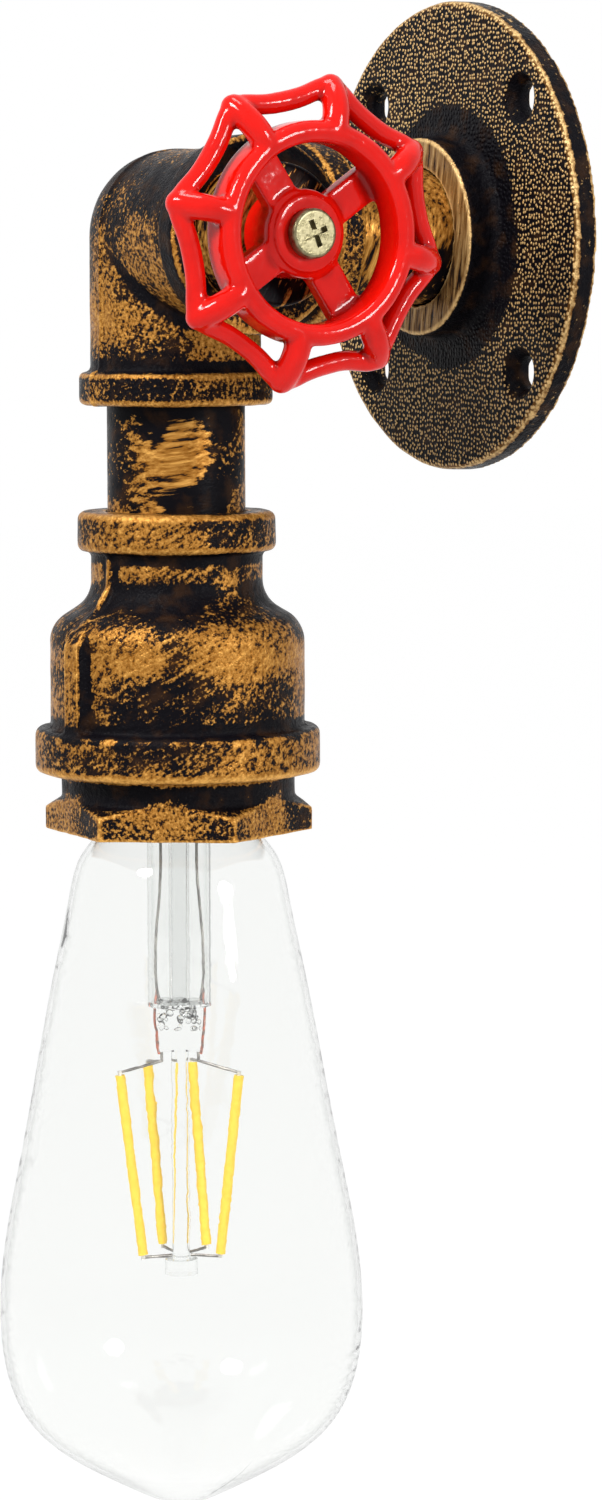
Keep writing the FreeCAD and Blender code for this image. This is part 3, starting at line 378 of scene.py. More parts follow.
def make_pebble_group() -> bpy.types.NodeTree:
    """Round pebbles on a face square to Y, from the gaps between them at 0 to their tops at 1.

    Returns:
        The node group.
    """
    inputs = {"Pebbles per metre": 1050.0, "Irregularity": 0.75}
    bench, start, end = new_group("CastPebbles", inputs, {"Height": "NodeSocketFloat"})
    across, _, upward = bench.axes()
    flat = bench.add("ShaderNodeCombineXYZ")
    bench.feed(across, flat, 0)
    bench.feed(upward, flat, 1)
    cells = bench.add("ShaderNodeTexVoronoi", feature="F1", voronoi_dimensions="2D")
    bench.feed(flat.outputs[0], cells, "Vector")
    bench.feed(start.outputs["Pebbles per metre"], cells, "Scale")
    bench.feed(start.outputs["Irregularity"], cells, "Randomness")
    bench.feed(bench.ramp(cells.outputs["Distance"], PEBBLE_GAP, PEBBLE_TOP), end, "Height")
    return bench.tree


@dataclass(frozen=True)
class BrushLook:
    """How gold catches on dark paint, and how strongly a painted highlight lightens it. The spans are where
    a mask starts and where it is full.
    """

    amount_pull: float = 0.6
    catch: Span = (0.46, 0.55)
    stains_per_metre: float = 260.0
    stain: Span = (0.46, 0.74)
    amount_highlight: float = 0.35
    grain_highlight: float = 1.6
    painted_highlight: Span = (0.85, 1.55)
    rough_patches_per_metre: float = 420.0
    roughness: Span = (0.26, 0.42)


def make_dry_brush_group(look: BrushLook = BrushLook()) -> bpy.types.NodeTree:
    """Gold paint dragged over dark paint, wherever the grain and the amount let it catch, with a painted
    highlight.

    Args:
        look: how the gold catches.

    Returns:
        The node group.
    """
    inputs = {
        "Dark": Paint.SOOT.value, "Warm dark": Paint.UMBER.value, "Gold": Paint.OLD_GOLD.value,
        "Painted gold highlight": Paint.GOLD_HIGHLIGHT.value, "Grain": 0.5, "Amount": 0.5,
    }
    outputs = {"Colour": "NodeSocketColor", "Gold mask": "NodeSocketFloat",
               "Roughness": "NodeSocketFloat"}
    bench, start, end = new_group("DryBrush", inputs, outputs)
    amount, grain = start.outputs["Amount"], start.outputs["Grain"]
    lift = bench.maths("MULTIPLY", bench.maths("SUBTRACT", amount, 0.5), look.amount_pull)
    mask = bench.ramp(bench.maths("ADD", grain, lift), *look.catch)
    stain = bench.ramp(bench.speckle(look.stains_per_metre, 4.0), *look.stain)
    under = bench.blend(stain, start.outputs["Dark"], start.outputs["Warm dark"])
    # Painted highlight: the gold turns lighter on the grain's high places and where the amount is high,
    # where light would catch it.
    painted_highlight = bench.maths("ADD", bench.maths("MULTIPLY", amount, look.amount_highlight),
                        bench.maths("MULTIPLY", grain, look.grain_highlight))
    top = bench.blend(bench.ramp(painted_highlight, *look.painted_highlight), start.outputs["Gold"], start.outputs["Painted gold highlight"])
    bench.feed(bench.blend(mask, under, top), end, "Colour")
    bench.feed(mask, end, "Gold mask")
    bench.feed(bench.wander(look.rough_patches_per_metre, 2.0, look.roughness), end, "Roughness")
    return bench.tree


def make_relief_group() -> bpy.types.NodeTree:
    """Masks of the high and the low places that a skin's relief attribute marks.

    Returns:
        The node group.
    """
    inputs = {"Edge start": 0.60, "Edge end": 0.78, "Hollow start": 0.50, "Hollow end": 0.36}
    outputs = {"Edges": "NodeSocketFloat", "Hollows": "NodeSocketFloat"}
    bench, start, end = new_group("HighAndLow", inputs, outputs)
    relief = bench.add("ShaderNodeAttribute", attribute_name=RELIEF).outputs["Fac"]
    bench.feed(bench.ramp(relief, start.outputs["Edge start"], start.outputs["Edge end"]), end, "Edges")
    hollows = bench.ramp(relief, start.outputs["Hollow start"], start.outputs["Hollow end"])
    bench.feed(hollows, end, "Hollows")
    return bench.tree


def make_uneven_group() -> bpy.types.NodeTree:
    """Slight unevenness for plated, moulded and coated parts.

    Returns:
        The node group.
    """
    inputs = {"Colour": Paint.NICKEL.value, "Shade": Paint.NICKEL_SHADE.value,
              "Patches per metre": 350.0, "Low roughness": 0.25, "High roughness": 0.45}
    outputs = {"Colour": "NodeSocketColor", "Roughness": "NodeSocketFloat", "Grain": "NodeSocketFloat"}
    bench, start, end = new_group("UnevenCoat", inputs, outputs)
    patches = bench.speckle(start.outputs["Patches per metre"], 4.0)
    mask = bench.ramp(patches, *COAT_SHADE)
    bench.feed(bench.blend(mask, start.outputs["Colour"], start.outputs["Shade"]), end, "Colour")
    limits = (start.outputs["Low roughness"], start.outputs["High roughness"])
    rough = bench.ramp(patches, *NOISE_SPAN, *limits)
    bench.feed(rough, end, "Roughness")
    bench.feed(bench.speckle(COAT_GRAINS_PER_METRE, 2.0), end, "Grain")
    return bench.tree


@dataclass
class Effects:
    """The node groups that the finishes share."""

    pebbles: bpy.types.NodeTree = field(default_factory=make_pebble_group)
    dry_brush: bpy.types.NodeTree = field(default_factory=make_dry_brush_group)
    relief: bpy.types.NodeTree = field(default_factory=make_relief_group)
    uneven: bpy.types.NodeTree = field(default_factory=make_uneven_group)


def open_material(name: str) -> tuple[bpy.types.Material, NodeBench, bpy.types.Node]:
    """Start a material with an empty Principled shader.

    Args:
        name: the material's name.

    Returns:
        The material, its bench and its Principled node.
    """
    material = bpy.data.materials.new(name)
    material.use_nodes = True
    bench = NodeBench(material.node_tree)
    return material, bench, material.node_tree.nodes["Principled BSDF"]


def bump(bench: NodeBench, height: object, depth: float, normal: object = None) -> object:
    """Turn a height into a normal.

    Args:
        bench: the material's bench.
        height: the height's socket.
        depth: the height of 1, in metres.
        normal: a normal to start from.

    Returns:
        The normal's socket.
    """
    node = bench.add("ShaderNodeBump")
    node.inputs["Strength"].default_value = 1.0
    node.inputs["Distance"].default_value = depth
    bench.feed(height, node, "Height")
    if normal is not None:
        bench.feed(normal, node, "Normal")
    return node.outputs[0]


# --- Finishes ---
@dataclass(frozen=True)
class Band:
    """A stretch along X, Y or Z with more gold, or less."""

    axis: int
    middle: float
    reach: float
    gain: float
    raggedness_per_metre: float = 260.0

    def build(self, bench: NodeBench) -> object:
        """The gold that the stretch adds.

        Args:
            bench: the material's bench.

        Returns:
            The addition's socket, fading to 0 at the stretch's ends.
        """
        place = bench.axes()[self.axis]
        away = bench.maths("ABSOLUTE", bench.maths("SUBTRACT", place, self.middle))
        ragged = bench.maths("MULTIPLY", bench.speckle(self.raggedness_per_metre), self.reach)
        reached = bench.maths("ADD", away, ragged)
        fade = 0.5 * self.reach
        return bench.ramp(reached, self.reach + fade, self.reach - fade, 0.0, self.gain)


def brush_gold(bench: NodeBench, shader: bpy.types.Node, effects: Effects, values: dict[str, object],
               metallic: float, specular: float) -> None:
    """Give a material dark paint with dry-brushed gold.

    Args:
        bench: the material's bench.
        shader: its Principled node.
        effects: the shared node groups.
        values: the DryBrush group's inputs by name.
        metallic: how metallic the gold is.
        specular: how much light the paint mirrors.
    """
    coat = place_group(bench, effects.dry_brush, values)
    bench.feed(coat.outputs["Colour"], shader, "Base Color")
    bench.feed(bench.maths("MULTIPLY", coat.outputs["Gold mask"], metallic), shader, "Metallic")
    bench.feed(coat.outputs["Roughness"], shader, "Roughness")
    shader.inputs["Specular IOR Level"].default_value = specular


@dataclass(frozen=True)
class AntiqueCasting:
    """Dark paint on a grainy casting with gold brushed over its high places."""

    name: str
    amount: float = 0.34
    zone: Span = (0.36, 0.62)
    zone_gain: float = 0.20
    zones_per_metre: float = 55.0
    edge_gain: float = 0.8
    hollow_loss: float = 1.1
    grains_per_metre: float = 1500.0
    grain_roughness: float = 0.62
    grain_depth: float = 0.42 * MM
    fine_grains_per_metre: float = 3600.0
    fine_share: float = 0.1
    stroke_share: float = 0.25
    stroke_along: Direction = (0.45, 0.75, 0.5)
    bristles_per_metre: float = 900.0
    stroke_length: float = 9.0
    metallic: float = 0.40
    specular: float = 0.04
    gold: Paint = Paint.OLD_GOLD
    # The painted highlight's colour, laid over the gold's high places.
    highlight_paint: Paint = Paint.GOLD_HIGHLIGHT
    bands: tuple[Band, ...] = ()

    def grain(self, bench: NodeBench, effects: Effects) -> object:
        """The pattern that decides where gold catches first.

        Args:
            bench: the material's bench.
            effects: the shared node groups; not used here.

        Returns:
            The grain's socket, around 0.5.
        """
        sand = bench.speckle(self.grains_per_metre, rough=self.grain_roughness)
        strokes = bench.strokes(self.stroke_along, self.bristles_per_metre, self.stroke_length)
        return bench.mix_values(self.stroke_share, sand, strokes)

    def gold_amount(self, bench: NodeBench, effects: Effects) -> object:
        """How much gold each place has, before the grain.

        Args:
            bench: the material's bench.
            effects: the shared node groups.

        Returns:
            The amount's socket.
        """
        places = place_group(bench, effects.relief, {})
        zone = bench.ramp(bench.speckle(self.zones_per_metre, 2.0), *self.zone, 0.0, self.zone_gain)
        amount = bench.maths("ADD", zone, self.amount)
        edges = bench.maths("MULTIPLY", places.outputs["Edges"], self.edge_gain)
        hollows = bench.maths("MULTIPLY", places.outputs["Hollows"], self.hollow_loss)
        amount = bench.maths("SUBTRACT", bench.maths("ADD", amount, edges), hollows)
        for band in self.bands:
            amount = bench.maths("ADD", amount, band.build(bench))
        return amount

    def build(self, effects: Effects) -> bpy.types.Material:
        """Make the material.

        Args:
            effects: the shared node groups.

        Returns:
            The material.
        """
        material, bench, shader = open_material(self.name)
        grain = self.grain(bench, effects)
        values = {"Grain": grain, "Amount": self.gold_amount(bench, effects),
                  "Gold": self.gold.value, "Painted gold highlight": self.highlight_paint.value}
        brush_gold(bench, shader, effects, values, self.metallic, self.specular)
        fine_grain = bench.speckle(self.fine_grains_per_metre, 2.0)
        fine = bump(bench, fine_grain, self.grain_depth * self.fine_share)
        bench.feed(bump(bench, grain, self.grain_depth, fine), shader, "Normal")
        return material


@dataclass(frozen=True)
class PebbledFlange(AntiqueCasting):
    """The flange's finish: pebbles with gold tops lightened by a painted highlight, black round the boss
    and a brushed boss face.
    """

    pebbles_per_metre: float = 1050.0
    pebble_levels: Span = (0.22, 0.80)
    stroke_along: Direction = (0.15, 0.0, 1.0)
    bristles_per_metre: float = 800.0
    stroke_length: float = 10.0
    root_radius: float = 25.0 * MM
    root_fade: float = 5.0 * MM
    root_patches_per_metre: float = 70.0
    root_loss: float = 1.1
    boss_front: float = 11.0 * MM
    boss_fade: float = 0.4 * MM
    boss_gain: float = 1.35
    facing: Span = (0.72, 0.92)
    side_grains_per_metre: float = 900.0
    side_roughness: float = 0.6
    side_loss: float = 0.16

    def grain(self, bench: NodeBench, effects: Effects) -> object:
        """Pebbles, drawn out into streaks a little.

        Args:
            bench: the material's bench.
            effects: the shared node groups.

        Returns:
            The grain's socket, around 0.5.
        """
        values = {"Pebbles per metre": self.pebbles_per_metre}
        pebbles = place_group(bench, effects.pebbles, values).outputs["Height"]
        level = bench.ramp(pebbles, 0.0, 1.0, *self.pebble_levels)
        strokes = bench.strokes(self.stroke_along, self.bristles_per_metre, self.stroke_length)
        front = bench.mix_values(self.stroke_share, level, strokes)
        face = self.on_boss(bench)
        front = bench.maths("MULTIPLY", front, bench.maths("SUBTRACT", 1.0, face))
        front = bench.maths("ADD", front, bench.maths("MULTIPLY", strokes, face))
        flat = self.flatness(bench)
        side_grain = bench.speckle(self.side_grains_per_metre, 4.0, self.side_roughness)
        sides = bench.maths("MULTIPLY", side_grain, bench.maths("SUBTRACT", 1.0, flat))
        return bench.maths("ADD", bench.maths("MULTIPLY", front, flat), sides)

    def on_boss(self, bench: NodeBench) -> object:
        """Where the surface is the boss's front.

        Args:
            bench: the material's bench.

        Returns:
            The mask's socket, 1 on the boss's front.
        """
        forward = bench.maths("MULTIPLY", bench.axes()[1], -1.0)
        return bench.ramp(forward, self.boss_front, self.boss_front + self.boss_fade)

    def flatness(self, bench: NodeBench) -> object:
        """Where the surface is square to Y.

        Args:
            bench: the material's bench.

        Returns:
            The mask's socket, 1 on the flat faces.
        """
        normal = bench.add("ShaderNodeTexCoord").outputs["Normal"]
        return bench.ramp(bench.maths("ABSOLUTE", bench.axes(normal)[1]), *self.facing)

    def gold_amount(self, bench: NodeBench, effects: Effects) -> object:
        """Less gold round the boss's root and nearly all gold on its face.

        Args:
            bench: the material's bench.
            effects: the shared node groups.

        Returns:
            The amount's socket.
        """
        amount = super().gold_amount(bench, effects)
        across, _, upward = bench.axes()
        squares = [bench.maths("MULTIPLY", length, length) for length in (across, upward)]
        radius = bench.maths("SQRT", bench.maths("ADD", *squares))
        patches = bench.speckle(self.root_patches_per_metre, 2.0)
        reach = bench.maths("ADD", radius, bench.maths("MULTIPLY", patches, self.root_fade))
        root_end = self.root_radius + self.root_fade
        clear = bench.ramp(reach, self.root_radius, root_end, -self.root_loss, 0.0)
        amount = bench.maths("ADD", amount, clear)
        boss = bench.maths("MULTIPLY", self.on_boss(bench), self.boss_gain)
        amount = bench.maths("ADD", amount, boss)
        sides = bench.maths("SUBTRACT", 1.0, self.flatness(bench))
        return bench.maths("SUBTRACT", amount, bench.maths("MULTIPLY", sides, self.side_loss))


@dataclass(frozen=True)
class StreakedPipe:
    """Dark paint on a smooth pipe with gold dragged on in streaks."""

    name: str
    along: Direction = (0.5, 0.84, 0.12)
    bristles_per_metre: float = 1100.0
    stroke_length: float = 14.0
    stroke_depth: float = 0.10 * MM
    amount: float = 0.12
    zone: Span = (0.40, 0.60)
    zone_gain: float = 0.40
    zones_per_metre: float = 85.0
    metallic: float = 0.40
    specular: float = 0.04
    bands: tuple[Band, ...] = ()

    def build(self, effects: Effects) -> bpy.types.Material:
        """Make the material.

        Args:
            effects: the shared node groups.

        Returns:
            The material.
        """
        material, bench, shader = open_material(self.name)
        bristles = bench.strokes(self.along, self.bristles_per_metre, self.stroke_length)
        zones = bench.ramp(bench.speckle(self.zones_per_metre, 1.5), *self.zone, 0.0, self.zone_gain)
        amount = bench.maths("ADD", zones, self.amount)
        for band in self.bands:
            amount = bench.maths("ADD", amount, band.build(bench))
        values = {"Grain": bristles, "Amount": amount}
        brush_gold(bench, shader, effects, values, self.metallic, self.specular)
        bench.feed(bump(bench, bristles, self.stroke_depth), shader, "Normal")
        return material


@dataclass(frozen=True)
class GlossEnamel:
    """Thick glossy enamel, darker in random clouds and with painted shade in the hollows."""

    name: str
    colour: Paint = Paint.WHEEL_RED
    # The deep red for the random clouds and for the painted shade in the hollows.
    hollow: Paint = Paint.DEEP_RED_AND_SHADE
    # How much painted shade darkens the hollows.
    hollow_shade: float = 0.65
    clouds_per_metre: float = 140.0
    cloud: Span = (0.40, 0.75)
    cloud_depth: float = 0.25
    rough_patches_per_metre: float = 900.0
    roughness: Span = (0.09, 0.15)
    specular: float = 0.22
    ripples_per_metre: float = 300.0
    ripple_depth: float = 0.14 * MM

    def build(self, effects: Effects) -> bpy.types.Material:
        """Make the material.

        Args:
            effects: the shared node groups.

        Returns:
            The material.
        """
        material, bench, shader = open_material(self.name)
        places = place_group(bench, effects.relief, {})
        cloud = bench.ramp(bench.speckle(self.clouds_per_metre), *self.cloud, 0.0, self.cloud_depth)
        # Painted shade: the hollows take the deep red, as if shade fell there; the clouds are the enamel's
        # own uneven tone.
        painted_hollow_shade = bench.maths("MULTIPLY", places.outputs["Hollows"], self.hollow_shade)
        depth = bench.maths("ADD", painted_hollow_shade, cloud, clamp=True)
        bench.feed(bench.blend(depth, self.colour.value, self.hollow.value), shader, "Base Color")
        bench.feed(bench.wander(self.rough_patches_per_metre, 3.0, self.roughness), shader, "Roughness")
        shader.inputs["Specular IOR Level"].default_value = self.specular
        ripples = bench.speckle(self.ripples_per_metre, 2.0)
        bench.feed(bump(bench, ripples, self.ripple_depth), shader, "Normal")
        return material


@dataclass(frozen=True)
class PlainCoat:
    """A plated, moulded, coated or fired surface with slight unevenness."""

    name: str
    colour: Paint
    shade: Paint
    metallic: float = 0.0
    low_roughness: float = 0.25
    high_roughness: float = 0.45
    patches_per_metre: float = 350.0
    grain_depth: float = 0.01 * MM

    def build(self, effects: Effects) -> bpy.types.Material:
        """Make the material.

        Args:
            effects: the shared node groups.

        Returns:
            The material.
        """
        material, bench, shader = open_material(self.name)
        values = {"Colour": self.colour.value, "Shade": self.shade.value,
                  "Patches per metre": self.patches_per_metre,
                  "Low roughness": self.low_roughness, "High roughness": self.high_roughness}
        coat = place_group(bench, effects.uneven, values)
        bench.feed(coat.outputs["Colour"], shader, "Base Color")
        bench.feed(coat.outputs["Roughness"], shader, "Roughness")
        shader.inputs["Metallic"].default_value = self.metallic
        bench.feed(bump(bench, coat.outputs["Grain"], self.grain_depth), shader, "Normal")
        return material


@dataclass(frozen=True)
class ClearGlass:
    """Clear glass with a faint tint and a painted shade that gather at its outline."""

    name: str
    face: Paint = Paint.CLEAR
    # The painted shade that the outline takes.
    rim_shade: Paint = Paint.CLEAR_RIM_SHADE
    rim_start: float = 0.70
    ior: float = 1.46
    rough_patches_per_metre: float = 60.0
    roughness: Span = (0.0, 0.02)
    waves_per_metre: float = 28.0
    wave_depth: float = 0.003 * MM

    def build(self, effects: Effects) -> bpy.types.Material:
        """Make the material.

        Args:
            effects: the shared node groups; not used here.

        Returns:
            The material.
        """
        material, bench, shader = open_material(self.name)
        weight = bench.add("ShaderNodeLayerWeight")
        weight.inputs["Blend"].default_value = 0.5
        # Painted shade: the colour darkens where the glass is seen edge-on.
        edge = bench.ramp(weight.outputs["Facing"], self.rim_start, 1.0)
        bench.feed(bench.blend(edge, self.face.value, self.rim_shade.value), shader, "Base Color")
        shader.inputs["Transmission Weight"].default_value = 1.0
        shader.inputs["IOR"].default_value = self.ior
        bench.feed(bench.wander(self.rough_patches_per_metre, 2.0, self.roughness), shader, "Roughness")
        bench.feed(bump(bench, bench.speckle(self.waves_per_metre, 1.0), self.wave_depth), shader, "Normal")
        clear = bench.add("ShaderNodeBsdfTransparent")
        path = bench.add("ShaderNodeLightPath")
        passing = bench.maths("MAXIMUM", path.outputs["Is Shadow Ray"], path.outputs["Is Diffuse Ray"])
        mix = bench.add("ShaderNodeMixShader")
        bench.feed(passing, mix, 0)
        bench.feed(shader.outputs[0], mix, 1)
        bench.feed(clear.outputs[0], mix, 2)
        bench.feed(mix.outputs[0], material.node_tree.nodes["Material Output"], "Surface")
        return material


def dress(thing: bpy.types.Object, material: bpy.types.Material) -> None:
    """Give every slot of an object one material.

    Args:
        thing: the object.
        material: its material.
    """
    if not thing.material_slots:
        thing.data.materials.append(material)
    for slot in thing.material_slots:
        slot.material = material


def dress_nodes(plan: dict[str, object], effects: Effects) -> None:
    """Dress construction nodes, making each finish once.

    Args:
        plan: each node's finish.
        effects: the shared node groups.
    """
    made: dict[str, bpy.types.Material] = {}
    for node, finish in plan.items():
        if finish.name not in made:
            made[finish.name] = finish.build(effects)
        dress(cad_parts[node], made[finish.name])


# --- Mesh helpers ---
def link(name: str, mesh: bpy.types.Mesh) -> bpy.types.Object:
    """Put a mesh into the scene as a new object.

    Args:
        name: the object's name.
        mesh: its mesh.

    Returns:
        The object.
    """
    thing = bpy.data.objects.new(name, mesh)
    bpy.context.scene.collection.objects.link(thing)
    return thing


def evaluated_mesh(thing: bpy.types.Object) -> bpy.types.Mesh:
    """A new mesh with an object's modifiers applied.

    Args:
        thing: the object.

    Returns:
        The mesh.
    """
    view = bpy.context.evaluated_depsgraph_get()
    return bpy.data.meshes.new_from_object(thing.evaluated_get(view))


def smooth_faces(mesh: bpy.types.Mesh) -> None:
    """Shade every face of a mesh smooth.

    Args:
        mesh: the mesh.
    """
    mesh.polygons.foreach_set("use_smooth", [True] * len(mesh.polygons))
    mesh.update()


def mark_relief(thing: bpy.types.Object, passes: int) -> None:
    """Store how far each point stands above its relaxed surroundings, with 0.5 for level.

    Args:
        thing: the object to mark.
        passes: how many times the surroundings are relaxed.
    """
    relax = thing.modifiers.new("Surroundings", "SMOOTH")
    relax.factor = 1.0
    relax.iterations = passes
    relaxed = evaluated_mesh(thing)
    thing.modifiers.clear()
    levels = []
    for point, base in zip(thing.data.vertices, relaxed.vertices):
        rise = (point.co - base.co).dot(point.normal) / MM
        levels.append(min(max(0.5 + 0.5 * rise, 0.0), 1.0))
    bpy.data.meshes.remove(relaxed)
    attribute = thing.data.attributes.new(RELIEF, "FLOAT", "POINT")
    attribute.data.foreach_set("value", levels)


def keep_inside(mesh: bpy.types.Mesh, node: str) -> None:
    """Hold a mesh's points inside the box of the construction node that it stands for.

    Args:
        mesh: the mesh.
        node: the construction node's name.
    """
    low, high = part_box(node)
    for point in mesh.vertices:
        for axis in range(3):
            point.co[axis] = min(max(point.co[axis], low[axis]), high[axis])


def pit(mesh: bpy.types.Mesh, patches: float, depth: float) -> None:
    """Sink parts of a surface a little, as an uneven casting has them.

    Args:
        mesh: the mesh to change.
        patches: how many patches there are in a metre.
        depth: how deep the deepest are, in metres.
    """
    moves = [point.normal * (depth * 0.5 * (noise.noise(point.co * patches) - 1.0))
             for point in mesh.vertices]
    for point, move in zip(mesh.vertices, moves):
        point.co += move
    mesh.update()


def raise_seam(mesh: bpy.types.Mesh, half_width: float, height: float) -> None:
    """Raise the thin seam that a two-part mould leaves on the plane X = 0.

    Args:
        mesh: the mesh to change.
        half_width: the seam's reach to each side.
        height: how far it stands up.
    """
    moves = []
    for point in mesh.vertices:
        share = max(0.0, 1.0 - abs(point.co.x) / half_width)
        moves.append(point.normal * (height * share))
    for point, move in zip(mesh.vertices, moves):
        point.co += move
    mesh.update()


@dataclass(frozen=True)
class Skin:
    """How a denser, softened copy of a construction node is made."""

    voxel: float = 0.45 * MM
    softening: float = 0.5
    passes: int = 3
    relief_passes: int = 45
    patches: float = 180.0
    pit_depth: float = 0.25 * MM
    seam_height: float = 0.0
    seam_half_width: float = 0.8 * MM

    def build(self, node: str, body: str, slot: Slot) -> bpy.types.Object:
        """Make the skin, which takes the node's place in the render.

        Args:
            node: the construction node that it stands for.
            body: the body that it rides on.
            slot: the record's material slot; not used.

        Returns:
            The skin.
        """
        piece = link(node + "_skin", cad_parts[node].data.copy())
        remesh = piece.modifiers.new("Grain", "REMESH")
        remesh.mode = "VOXEL"
        remesh.voxel_size = self.voxel
        relax = piece.modifiers.new("Soften", "SMOOTH")
        relax.factor = self.softening
        relax.iterations = self.passes
        mesh = evaluated_mesh(piece)
        piece.modifiers.clear()
        piece.data = mesh
        if self.seam_height > 0.0:
            raise_seam(mesh, self.seam_half_width, self.seam_height)
        pit(mesh, self.patches, self.pit_depth)
        keep_inside(mesh, node)
        smooth_faces(mesh)
        mark_relief(piece, self.relief_passes)
        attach(piece, body)
        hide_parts(node)
        return piece


def on_lamp(radius: float, angle: float, height: float) -> Vector:
    """A place inside the lamp.

    Args:
        radius: the distance from the lamp's axis.
        angle: the turn about it, in degrees from +X.
        height: the place's Z.

    Returns:
        The place.
    """
    turn = math.radians(angle)
    return LAMP_AXIS + Vector((radius * math.cos(turn), radius * math.sin(turn), height))


def wire_mesh(name: str, routes: list[list[Vector]], radius: float) -> bpy.types.Mesh:
    """Round wires along smooth routes.

    Args:
        name: the mesh's name.
        routes: each wire's points.
        radius: the wires' radius.

    Returns:
        The mesh.
    """
    curve = bpy.data.curves.new(name, "CURVE")
    curve.dimensions = "3D"
    curve.bevel_depth = radius
    curve.bevel_resolution = 3
    curve.use_fill_caps = True
    for route in routes:
        spline = curve.splines.new("BEZIER")
        spline.bezier_points.add(len(route) - 1)
        for knot, place in zip(spline.bezier_points, route):
            knot.co = place
            knot.handle_left_type = knot.handle_right_type = "AUTO"
    holder = bpy.data.objects.new(name, curve)
    bpy.context.scene.collection.objects.link(holder)
    mesh = evaluated_mesh(holder)
    bpy.data.objects.remove(holder)
    bpy.data.curves.remove(curve)
    smooth_faces(mesh)
    return mesh


# --- Sub-assemblies ---
@dataclass
class Castings:
    """The flange, the elbow, the coupling and the bushing, with the pipes that join them."""

    effects: Effects
    plain: Skin = Skin()
    seamed: Skin = Skin(seam_height=0.35 * MM)
    elbow_bands: tuple[Band, ...] = (
        Band(2, 12.0 * MM, 15.0 * MM, -0.16), Band(2, -17.0 * MM, 8.0 * MM, 0.20),
        Band(0, 29.0 * MM, 9.0 * MM, -0.30), Band(2, -24.5 * MM, 1.0 * MM, -0.4),
    )
    coupling_bands: tuple[Band, ...] = (
        Band(2, -72.0 * MM, 2.8 * MM, -0.16), Band(2, -80.5 * MM, 4.5 * MM, 0.16),
        Band(2, -61.0 * MM, 1.2 * MM, -0.4), Band(2, -94.5 * MM, 1.8 * MM, -0.5),
        Band(2, -102.5 * MM, 1.2 * MM, 0.35),
    )
    bushing_bands: tuple[Band, ...] = (Band(2, -105.5 * MM, 2.5 * MM, -0.5),)
    drop_bands: tuple[Band, ...] = (
        Band(2, -31.5 * MM, 4.0 * MM, -0.45), Band(2, -42.0 * MM, 7.0 * MM, 0.22),
    )

    def build(self) -> list[bpy.types.Object]:
        """Build and dress the castings and dress the pipes.

        Returns:
            The new pieces.
        """
        flange = PebbledFlange("FlangeFinish", amount=0.32, zone_gain=0.14, stroke_share=0.12,
                               edge_gain=1.3, grain_depth=0.54 * MM, gold=Paint.FLANGE_GOLD,
                               # The flange's pebble tops take a painted highlight.
                               highlight_paint=Paint.FLANGE_TIP_HIGHLIGHT)
        elbow = AntiqueCasting("ElbowFinish", amount=0.33, zone_gain=0.22, stroke_share=0.3,
                               stroke_along=(0.3, 0.5, 0.8), bands=self.elbow_bands)
        bell = AntiqueCasting("CouplingFinish", amount=0.37, zone_gain=0.20, stroke_share=0.5,
                              bands=self.coupling_bands)
        nut = AntiqueCasting("BushingFinish", amount=0.34, zone_gain=0.30, stroke_share=0.2,
                             bands=self.bushing_bands)
        plan = [
            ("floor_flange", self.plain, flange), ("side_outlet_elbow", self.seamed, elbow),
            ("reducing_coupling", self.plain, bell), ("hex_bushing", self.plain, nut),
        ]
        pieces = []
        for node, skin, finish in plan:
            piece = skin.build(node, "fitting", Slot.CASTING)
            dress(piece, finish.build(self.effects))
            pieces.append(piece)
        self.dress_pipes()
        return pieces

    def dress_pipes(self) -> None:
        """Streak the three pipes, each the way that the brush went."""
        drop = StreakedPipe("DropPipeFinish", bands=self.drop_bands)
        arm = StreakedPipe("ArmPipeFinish", along=(0.3, 0.2, 0.9), amount=0.25)
        plug = StreakedPipe("PlugFinish", along=(0.2, 0.5, 0.85), amount=0.25)
        for node, finish in (("drop_nipple", drop), ("wall_nipple", arm), ("outlet_plug", plug)):
            dress(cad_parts[node], finish.build(self.effects))


@dataclass
class Handwheel:
    """The red enamelled wheel and its screw."""

    effects: Effects
    skin: Skin = Skin(voxel=0.36 * MM, passes=12, patches=120.0, pit_depth=0.2 * MM)

    def build(self) -> list[bpy.types.Object]:
        """Build and dress the wheel and dress its screw.

        Returns:
            The new pieces.
        """
        wheel = self.skin.build("handwheel", "wheel", Slot.ENAMEL)
        dress(wheel, GlossEnamel("RedEnamel").build(self.effects))
        zinc = PlainCoat("YellowZinc", Paint.YELLOW_ZINC, Paint.PALE_ZINC, 0.85, 0.25, 0.42, 900.0,
                         0.03 * MM)
        dress(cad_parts["wheel_screw"], zinc.build(self.effects))
        return [wheel]


@dataclass
class Lampholder:
    """The lampholder's parts and the leads, inside the pipes."""

    effects: Effects

    def dress_parts(self) -> None:
        """Give the inner parts their finishes."""
        ceramic = PlainCoat("Ceramic", Paint.CERAMIC, Paint.CERAMIC_SHADE, 0.0, 0.5, 0.7, 500.0)
        brass = PlainCoat("PressedBrass", Paint.BRASS, Paint.BRASS_SHADE, 0.9, 0.22, 0.4)
        plan = {
            "lampholder_body": ceramic, "terminal_screws": brass, "screw_shell": brass,
            "centre_contact": brass,
            "holder_washer": PlainCoat("RedFibre", Paint.FIBRE, Paint.FIBRE_SHADE, 0.0, 0.6, 0.8, 900.0),
            "live_lead": PlainCoat("BrownLead", Paint.LIVE, Paint.LIVE_SHADE, 0.0, 0.4, 0.6),
            "neutral_lead": PlainCoat("BlueLead", Paint.NEUTRAL, Paint.NEUTRAL_SHADE, 0.0, 0.4, 0.6),
            "earth_lead": PlainCoat("GreenLead", Paint.EARTH, Paint.EARTH_SHADE, 0.0, 0.4, 0.6),
        }
        dress_nodes(plan, self.effects)


